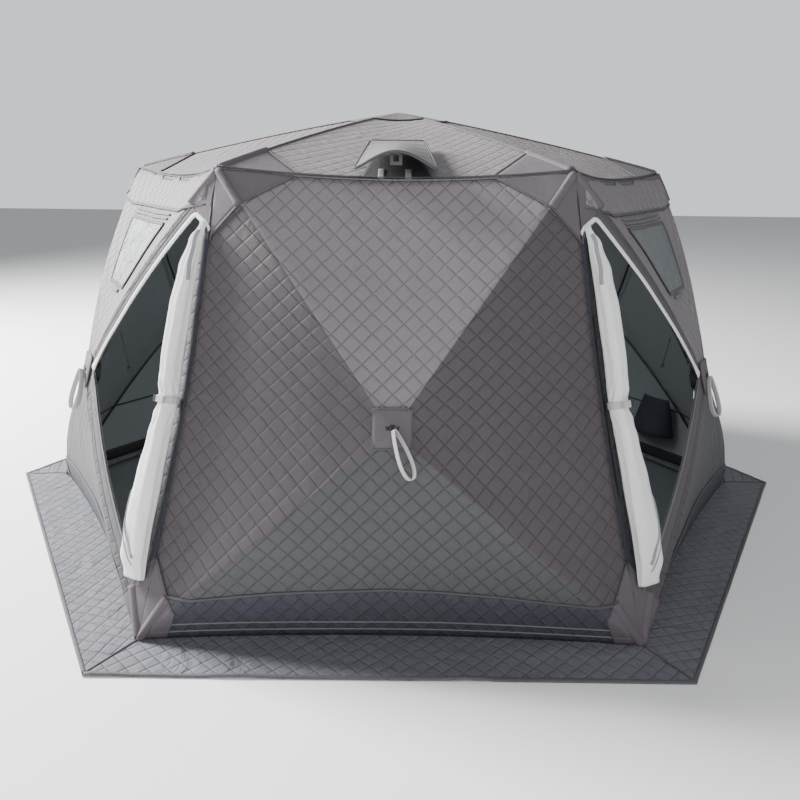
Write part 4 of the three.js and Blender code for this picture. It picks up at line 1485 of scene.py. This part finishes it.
@dataclass
class Roof:
    """The quilted roof, its rods, its seams and its reinforced corners."""

    finishes: Finishes
    form: RoofForm = field(default_factory=RoofForm)

    def follow(self, piece: bpy.types.Object, depth: float = -TRIM_LIFT) -> bpy.types.Object:
        """Bakes a piece's placement into its mesh; the outer cloth stays still."""
        form = self.form
        start = Vector((0, 0, form.height(form.still_share) - depth))
        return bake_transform(piece)

    def build(self) -> None:
        """Builds the roof."""
        form = self.form
        shell = Shell()
        for side in range(6):
            points, places = [], []
            for i in range(form.levels + 1):
                line = [form.point(side, i / form.levels, j / form.columns) for j in range(form.columns + 1)]
                points.append(line)
                back = Matrix.Rotation(-side * math.pi / 3, 3, "Z")
                places.append([((back @ p).x, (back @ p).y) for p in line])
            shell.add_grid(points, places)
        tree = BVHTree.FromPolygons([tuple(p) for p in shell.points], shell.faces)
        self.drape = Drape(tree, lambda x, y: (Vector((x, y, 3.0)), Vector((0, 0, -1)), Vector((x, y, 1.62))))
        cloth = shell.build("cloth_roof", (self.finishes["roof_cloth"],))
        lining = shell.build("lining_roof", (self.finishes["lining"],))
        line_cloth(lining)
        self.follow(lining, LINING_DEPTH)
        thicken(cloth, CLOTH_THICKNESS)
        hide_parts("roof_skin")
        self.follow(cloth, 0.0)
        self.seams()
        self.rods()

    def add(self, shell: Shell, name: str, finish: str) -> None:
        """Makes one trim of the roof."""
        piece = shell.build(name, (self.finishes[finish],))
        RolledDoor.solid(piece)
        self.follow(piece)

    def seams(self) -> None:
        """Builds the ridge seams, the eave piping, the cap and the corner reinforcements."""
        drape, radius = self.drape, self.form.radius
        for side in range(6):
            angle = side * math.pi / 3
            turn = lambda x, y, a=angle: (
                x * math.cos(a) - y * math.sin(a), x * math.sin(a) + y * math.cos(a)
            )
            eave = [self.form.point(side, 0.004, j / 24) for j in range(25)]
            piping = drape.ribbon(
                [(p.x, p.y) for p in eave], 0.014, 48, lift=0.001, thickness=0.003, crown=0.004
            )
            self.add(piping, f"eave_piping_{WALLS[side]}", "piping")
            ridge = [turn(0.5 * r, -COS30 * r) for r in (radius * 0.985, 0.7, 0.22)]
            self.add(
                drape.ribbon(ridge, 0.010, 40, lift=0.001, thickness=0.0015, crown=0.003),
                f"ridge_seam_{WALLS[side]}", "gusset_cloth"
            )
            sleeve = [turn(0.5 * r, -COS30 * r) for r in (radius * 0.99, radius - 0.27)]
            self.add(
                drape.ribbon(sleeve, 0.034, 18, across=8, lift=0.003, thickness=0.001, crown=0.009),
                f"ridge_sleeve_{WALLS[side]}", "gusset_cloth"
            )
            inner = (radius - 0.27)
            tip = turn(0.5 * inner, -COS30 * inner)
            low = self.form.point(side, 0.004, 0.5 + 0.35 / radius)
            other = self.form.point((side + 1) % 6, 0.004, 0.5 - 0.35 / radius)
            end = turn(0.5 * radius * 0.992, -COS30 * radius * 0.992)
            for label, spot in (("a", low), ("b", other)):
                patch = drape.strip(((spot.x, spot.y), tip), (end, end), 18, 10, 0.002, 0.0015, 0.001)
                self.add(patch, f"roof_gusset_{WALLS[side]}_{label}", "gusset_cloth")
                hem = drape.ribbon(
                    ((spot.x, spot.y), tip), 0.007, 18, lift=0.004, thickness=0.001, crown=0.0015
                )
                self.add(hem, f"roof_gusset_hem_{WALLS[side]}_{label}", "facing_cloth")
            cap = 0.2 / COS30
            corners = [turn(s * 0.5 * cap, -COS30 * cap) for s in (-1, 1)]
            self.add(
                drape.ribbon(corners, 0.010, 16, lift=0.0035, thickness=0.0015, crown=0.003),
                f"cap_seam_{WALLS[side]}", "facing_cloth"
            )
            rays = [turn(s * 0.5 * 0.012, -COS30 * 0.012) for s in (-1, 1)]
            self.add(drape.strip(corners, rays, 16, 12, 0.0015, 0.0015), f"cap_{WALLS[side]}", "gusset_cloth")

    def rods(self) -> None:
        """Builds the six roof rods."""
        centre = Vector((0, 0, self.form.apex - self.form.hub_depth))
        for number, ridge in enumerate(RIDGES):
            angle = (number - 1) * math.pi / 3
            reach = self.form.radius - 0.024
            pivot = Vector((reach * math.cos(angle), reach * math.sin(angle), self.form.eave - 0.024))
            piece = arched_rod(
                f"arched_roof_rod_{ridge}", pivot, centre, Vector((0, 0, self.form.bow)), (0.042, 0.052),
                (0.0055, 0.0068, 0.07), lambda p: p,
                (self.finishes["rod_fibre"], self.finishes["ferrule_steel"]),
            )
            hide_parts(f"roof_rod_{ridge}")
            self.follow(piece, self.form.hub_depth - 0.004)


@dataclass
class VentHood:
    """The hooded vent over the front eave, with its dark mouth; its folding prop comes with the frame."""

    finishes: Finishes
    roof: Roof
    back: float = 0.725
    front: float = 1.112
    half_back: float = 0.108
    half_front: float = 0.148
    rise: float = 0.060
    peak: float = 1.25
    rows: int = 16
    columns: int = 28

    def roof_height(self, y: float) -> float:
        """The height of the roof's middle line at y."""
        return self.roof.form.height(1 + y / (self.roof.form.radius * COS30)) + 0.003

    def point(self, t: float, across: float, lift: float = 0.0) -> Vector:
        """A point of the hood, t running from its back seam to its lip."""
        y = -(self.back + (self.front - self.back) * t)
        half = self.half_back + (self.half_front - self.half_back) * t
        swell = self.rise * t * max(0.0, math.sin(math.pi * across)) ** self.peak
        return Vector((-half + 2 * half * across, y, self.roof_height(y) + 0.004 + swell + lift))

    def build(self) -> None:
        """Builds the hood, its rim, its mouth and its strips."""
        shell = Shell()
        points = [
            [
                self.point(i / self.rows, j / self.columns) for j in range(self.columns + 1)
            ] for i in range(self.rows + 1)
        ]
        places = [[(p.x, p.y) for p in row] for row in points]
        shell.add_grid(points, places)
        hood = shell.build(
            "hood_cloth", (self.finishes["roof_cloth"], self.finishes["navy_cloth"]), flip=False
        )
        up = sum((p.normal.z for p in hood.data.polygons), 0.0)
        if up < 0:
            hood.data.flip_normals()
        thicken(hood, 0.004, 1)
        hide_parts("vent_hood")
        rim = self.tube([self.point(1.0, j / 40, -0.002) for j in range(41)], 0.005)
        sides = [
            self.tube([self.point(i / 20, side, -0.001) for i in range(21)], 0.004) for side in (0.0, 1.0)
        ]
        back = self.tube([self.point(0.0, j / 20, 0.0) for j in range(21)], 0.004)
        pieces = [(hood, "roof_cloth")]
        for name, shell in (
            ("hood_lip", rim), ("hood_edge_left", sides[0]), ("hood_edge_right", sides[1]),
            ("hood_seam", back)
        ):
            piece = shell.build(name, (self.finishes["piping"],))
            RolledDoor.solid(piece)
            pieces.append((piece, "roof_cloth"))
        for piece, slot in pieces:
            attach(piece, "root")
            self.roof_height(-1.0)
            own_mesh(piece)
        self.mouth()

    @staticmethod
    def tube(path: Sequence[Vector], radius: float) -> Shell:
        """A round edge along a path of points."""
        shell = Shell()
        rings, places = [], []
        for i, spot in enumerate(path):
            run = (path[min(i + 1, len(path) - 1)] - path[max(i - 1, 0)]).normalized()
            side = run.cross(Vector((0.0, 0.3, 1.0))).normalized()
            up = side.cross(run)
            size = radius if 0 < i < len(path) - 1 else radius * 0.4
            rings.append(
                [
                    spot + (
                        side * math.cos(a) + up * math.sin(a)
                    ) * size for a in (math.tau * k / 10 for k in range(11))
                ]
            )
            places.append([(i * 0.01, k * 0.003) for k in range(11)])
        rings = [[path[0]] * 11, *rings, [path[-1]] * 11]
        places = [places[0], *places, places[-1]]
        shell.add_grid(rings, places)
        return shell

    def mouth(self) -> None:
        """Builds the dark mesh behind the hood and the two pale strips on it."""
        drape = self.roof.drape
        mesh = drape.strip(
            ((-0.085, -0.80), (0.085, -0.80)), ((-0.132, -1.085), (0.132, -1.085)), 18, 14, 0.0015, 0.0015
        )
        self.roof.add(mesh, "vent_mesh", "dark_mesh")
        for label, x in (("left", -0.055), ("right", 0.045)):
            strip = drape.ribbon(((x, -0.98), (x, -1.092)), 0.022, 10, lift=0.004, thickness=0.0015)
            self.roof.add(strip, f"vent_strip_{label}", "zip_tape")


# ---- ground ----


@dataclass
class SnowSkirt:
    """The quilted skirt that lies on the ground, mitred at its corners."""

    finishes: Finishes
    outer: float = 2.046
    inner: float = 1.715
    thickness: float = 0.006
    rows: int = 14
    columns: int = 90

    def spot(self, side: int, row: float, across: float) -> Vector:
        """A point of the skirt's top face."""
        radius = self.inner + (self.outer - self.inner) * row
        x, y = radius * (across - 0.5), -radius * COS30
        lift = noise.noise(Vector((x * 4.0, y * 6.0, side * 4.0))) * 0.010 * min(1.0, row * 2)
        fine = noise.noise(Vector((x * 13.0, y * 11.0, side * 2.0))) * 0.003
        edge = 0.012 * max(0.0, row - 0.8) / 0.2 * max(0.0, noise.noise(Vector((x * 3.0, 5.0, side * 3.0))))
        inset = 0.006 * noise.noise(Vector((x * 5.0, 3.0, side))) * max(0.0, row - 0.7) - 0.004 * row
        raised = self.thickness + max(0.0, lift + fine + edge)
        return Matrix.Rotation(side * math.pi / 3, 3, "Z") @ Vector((x, y - inset * 0.5 + 0.002, raised))

    def build(self) -> None:
        """Builds the skirt, its mitre seams and its hem."""
        shell = Shell()
        for side in range(6):
            points = [
                [
                    self.spot(side, i / self.rows, j / self.columns) for j in range(self.columns + 1)
                ] for i in range(self.rows + 1)
            ]
            for i in range(self.rows + 1):
                for j, other in ((0, (side - 1) % 6), (self.columns, (side + 1) % 6)):
                    match = self.spot(other, i / self.rows, 1.0 if j == 0 else 0.0)
                    points[i][j] = (self.spot(side, i / self.rows, j / self.columns) + match) / 2
            back = Matrix.Rotation(-side * math.pi / 3, 3, "Z")
            shell.add_grid(points, [[((back @ p).x, (back @ p).y) for p in row] for row in points])
        top = shell.build("skirt_cloth", (self.finishes["skirt_cloth"], self.finishes["facing_cloth"]))
        if sum(p.normal.z for p in top.data.polygons) < 0:
            top.data.flip_normals()
        thicken(top, self.thickness, 1)
        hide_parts("snow_skirt")
        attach(top, "root")
        tree = BVHTree.FromPolygons([tuple(p) for p in shell.points], shell.faces)
        drape = Drape(tree, lambda x, y: (Vector((x, y, 1.0)), Vector((0, 0, -1)), Vector((x, y, 0.0))))
        for side in range(6):
            turn = Matrix.Rotation(side * math.pi / 3, 2)
            seam = [
                tuple(turn @ Vector((r * 0.5, -r * COS30))) for r in (self.inner + 0.01, self.outer - 0.012)
            ]
            self.add(
                drape.ribbon(seam, 0.008, 24, lift=0.0005, thickness=0.001, crown=0.003),
                f"skirt_mitre_{WALLS[side]}", "piping"
            )
            reach = self.outer - 0.012
            hem = [tuple(turn @ Vector((reach * s, -reach * COS30))) for s in (-0.5, 0.0, 0.5)]
            self.add(
                drape.ribbon(hem, 0.016, 90, lift=0.0005, thickness=0.001, crown=0.0025),
                f"skirt_hem_{WALLS[side]}", "facing_cloth"
            )

    def add(self, shell: Shell, name: str, finish: str) -> None:
        """Makes one trim of the skirt."""
        piece = shell.build(name, (self.finishes[finish],))
        RolledDoor.solid(piece)
        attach(piece, "root")


@dataclass
class FloorMat:
    """The smooth coated floor sheet."""

    finishes: Finishes
    radius: float = 1.708
    thickness: float = 0.0028
    rings: int = 26

    def build(self) -> None:
        """Builds the floor with its shallow fold lines."""
        shell = Shell()
        for side in range(6):
            points = []
            for i in range(self.rings + 1):
                radius = self.radius * i / self.rings
                points.append([self.spot(side, radius, j / self.rings) for j in range(self.rings + 1)])
            shell.add_grid(points, [[(p.x, p.y) for p in row] for row in points])
        floor = shell.build("floor_cloth", (self.finishes["floor_sheet"],))
        if sum(p.normal.z for p in floor.data.polygons) < 0:
            floor.data.flip_normals()
        thicken(floor, self.thickness)
        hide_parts("floor_mat")
        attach(floor, "root")

    def spot(self, side: int, radius: float, across: float) -> Vector:
        """A point of the floor's top face."""
        flat = Vector((radius * (across - 0.5), -radius * COS30, 0.0))
        spot = Matrix.Rotation(side * math.pi / 3, 3, "Z") @ flat
        wave = max(0.0, noise.noise(Vector((spot.x * 2.0, spot.y * 2.0, 8.0)))) * 0.006
        spot.z = self.thickness + 0.0001 + wave * (1 - radius / self.radius)
        return spot


# ---- inside ----


@dataclass
class Inside:
    """The base band, the hanging ties and the low vent of the lined inside."""

    bays: dict[str, Bay]
    finishes: Finishes

    def build(self) -> None:
        """Builds what shows inside the shelter."""
        for wall in WALLS:
            bay = self.bays[wall]
            # a black band along the inside foot of each wall, where the wall meets the floor
            band = bay.drape.strip(
                ((-0.885, 0.012), (0.0, 0.012), (0.885, 0.012)),
                ((-0.868, 0.068), (0.0, 0.068), (0.868, 0.068)), 50, 3, -0.0105, 0.002
            )
            piece = bay.finish(band, f"base_band_{wall}", self.finishes["black_webbing"])
            RolledDoor.solid(piece)
            bay.follow(piece)
            seams = bay.drape.ribbon(
                ((-0.84, 0.30), (0.0, 0.31), (0.84, 0.30)), 0.008, 40, lift=-0.009, thickness=0.001
            )
            piece = bay.finish(seams, f"lining_seam_{wall}", self.finishes["navy_cloth"])
            RolledDoor.solid(piece)
            bay.follow(piece)
        self.low_vent()
        self.tie("front_left", Vector((0.16, -1.40, 0.98)), 0.17)
        self.tie("front_right", Vector((0.16, -1.40, 0.98)), 0.13)

    def low_vent(self) -> None:
        """Builds the small hood over the low vent, with a taped rim."""
        bay = self.bays["rear_right"]
        points = []
        for i in range(13):
            t = i / 12
            z = 0.165 + 0.21 * t
            reach = 0.09 * (1 - 0.75 * t)
            half = 0.15 * (0.45 + 0.55 * (1 - 0.75 * t))
            row = []
            for j in range(21):
                angle = math.pi * j / 20
                row.append(
                    Vector(
                        (-0.415 - half * math.cos(angle), -1.8 * COS30 + 0.036 + reach * math.sin(angle), z)
                    )
                )
            points.append(row)
        shell = Shell()
        shell.add_grid(points, [[(p.x, p.z) for p in row] for row in points])
        hood = bay.finish(shell, "low_vent_cloth", self.finishes["navy_cloth"], self.finishes["navy_cloth"])
        thicken(hood, 0.0028)
        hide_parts("low_vent_hood")
        bay.follow(hood)
        rim = VentHood.tube(points[0], 0.004)
        edge = bay.finish(rim, "low_vent_rim", self.finishes["black_webbing"])
        RolledDoor.solid(edge)
        bay.follow(edge)

    def tie(self, wall: str, top: Vector, length: float) -> None:
        """Builds a webbing tie with a toggle that hangs inside a door."""
        bay = self.bays[wall]
        rows, under, places = [], [], []
        for i in range(17):
            t = i / 16
            spot = top + Vector((-0.045 * math.sin(t * math.pi * 0.5), 0.03 * t, -length * t))
            half = 0.006
            rows.append([spot + Vector((s * half, 0.0, 0.0)) for s in (-1, 0, 1)])
            under.append([spot + Vector((s * half, 0.0012, 0.0)) for s in (-1, 0, 1)])
            places.append([(s * half, t * length) for s in (-1, 0, 1)])
        ends = closed_slab(rows, under, places)
        strap = bay.finish(ends, f"door_tie_{wall}", self.finishes["black_webbing"])
        RolledDoor.solid(strap)
        low = rows[-1][1]
        bar = VentHood.tube(
            [low + Vector((x * 0.022, 0.0, -0.004 * abs(x))) for x in (-1, -0.8, -0.4, 0, 0.4, 0.8, 1)],
            0.0065
        )
        toggle = bay.finish(bar, f"door_toggle_{wall}", self.finishes["buckle_plastic"])
        RolledDoor.solid(toggle)
        for piece, slot in ((strap, "webbing"), (toggle, "buckle_plastic")):
            bay.follow(piece)


# ---- hard parts that keep their shape ----


def dress_frame(frame: dict, finishes: Finishes) -> None:
    """Gives the nodes that keep their shape their real finishes.

    Args:
        finishes: The finishes.
    """
    looks = {
        "hub_": "hub_plastic", "tie_strap": "webbing", "buckle_clip": "buckle_plastic",
        "zip_slider": "zip_metal", "vent_prop": "strip_plastic"
    }
    for name, piece in frame["nodes"].items():
        for start, finish in looks.items():
            if name.startswith(start):
                piece.data.materials.clear()
                piece.data.materials.append(finishes[finish])


# ---- stage ----


@dataclass
class Studio:
    """The pale floor, the soft lights and the camera."""

    eye: tuple[float, float, float] = (0.032, -3.971, 1.617)
    pitch: float = 16.34
    yaw: float = -0.17
    roll: float = 0.65
    focal: float = 34.82
    key_power: float = 3400.0
    fill_power: float = 290.0
    inside_power: float = 16.0
    sky: float = 0.38
    backdrop: float = 1.0

    def build(self) -> None:
        """Builds the stage."""
        bpy.ops.object.select_all(action="DESELECT")
        bpy.ops.mesh.primitive_plane_add(size=60.0, location=(0.0, 0.0, -0.0015))
        floor = bpy.context.object
        floor.name = "floor"
        paint = bpy.data.materials.new("pale_floor")
        paint.use_nodes = True
        paint.node_tree.nodes["Principled BSDF"].inputs["Base Color"].default_value = (0.9, 0.9, 0.9, 1)
        paint.node_tree.nodes["Principled BSDF"].inputs["Roughness"].default_value = 0.9
        floor.data.materials.append(paint)
        self.light("key", (-7.0, 1.9, 5.2), 3.0, self.key_power)
        self.light("fill", (0.5, -7.0, 5.0), 5.0, self.fill_power)
        self.light("inside", (0.0, 0.0, 1.55), 1.2, self.inside_power)
        world = bpy.data.worlds.new("sky")
        world.use_nodes = True
        world.node_tree.nodes["Background"].inputs[0].default_value = (0.93, 0.96, 1.0, 1)
        path = node(world.node_tree, "ShaderNodeLightPath").outputs["Is Camera Ray"]
        seen = maths(world.node_tree, "MULTIPLY_ADD", path, self.backdrop - self.sky, self.sky)
        world.node_tree.links.new(seen, world.node_tree.nodes["Background"].inputs[1])
        bpy.context.scene.world = world
        self.camera()

    @staticmethod
    def light(name: str, place: tuple[float, float, float], size: float, power: float) -> None:
        """Adds a soft light that faces the middle of the shelter."""
        lamp = bpy.data.lights.new(name, "AREA")
        lamp.size = size
        lamp.energy = power
        holder = bpy.data.objects.new(name, lamp)
        holder.location = place
        aim = Vector((0.0, 0.0, 0.8)) - Vector(place)
        holder.rotation_euler = aim.to_track_quat("-Z", "Y").to_euler()
        bpy.context.scene.collection.objects.link(holder)

    def camera(self) -> None:
        """Adds the camera."""
        pitch, yaw, roll = (math.radians(v) for v in (self.pitch, self.yaw, self.roll))
        forward = Vector((math.sin(yaw) * math.cos(pitch), math.cos(yaw) * math.cos(pitch), -math.sin(pitch)))
        right = Vector((math.cos(yaw), -math.sin(yaw), 0.0))
        up = right.cross(forward)
        turned = right * math.cos(roll) + up * math.sin(roll)
        upright = up * math.cos(roll) - right * math.sin(roll)
        data = bpy.data.cameras.new("camera")
        data.sensor_width = 36.0
        data.lens = self.focal
        eye = bpy.data.objects.new("camera", data)
        basis = Matrix((turned, upright, -forward)).transposed().to_4x4()
        eye.matrix_world = Matrix.Translation(self.eye) @ basis
        bpy.context.scene.collection.objects.link(eye)
        bpy.context.scene.camera = eye


def main() -> None:
    """Builds the whole shelter on its frame."""
    logging.basicConfig(level=logging.INFO, format="%(name)s: %(message)s")
    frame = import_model()
    bpy.ops.object.select_all(action="DESELECT")
    Studio().build()
    finishes = Finishes(Effects())
    dress_frame(frame, finishes)
    bays = {wall: Bay(wall) for wall in WALLS}
    for wall, bay in bays.items():
        WallCloth(bay, finishes).build()
        Rods(bay, finishes).build()
        PullLoop(bay, finishes).build()
        if wall in ("front_left", "front_right"):
            SideTrim(bay, finishes).build()
            RolledDoor(bay, finishes, "left" if wall == "front_left" else "right").build()
        else:
            FrontTrim(bay, finishes).build()
        LOG.info("built the %s wall", wall)
    roof = Roof(finishes)
    roof.build()
    VentHood(finishes, roof).build()
    SnowSkirt(finishes).build()
    FloorMat(finishes).build()
    Inside(bays, finishes).build()


if __name__ == "__main__":
    main()
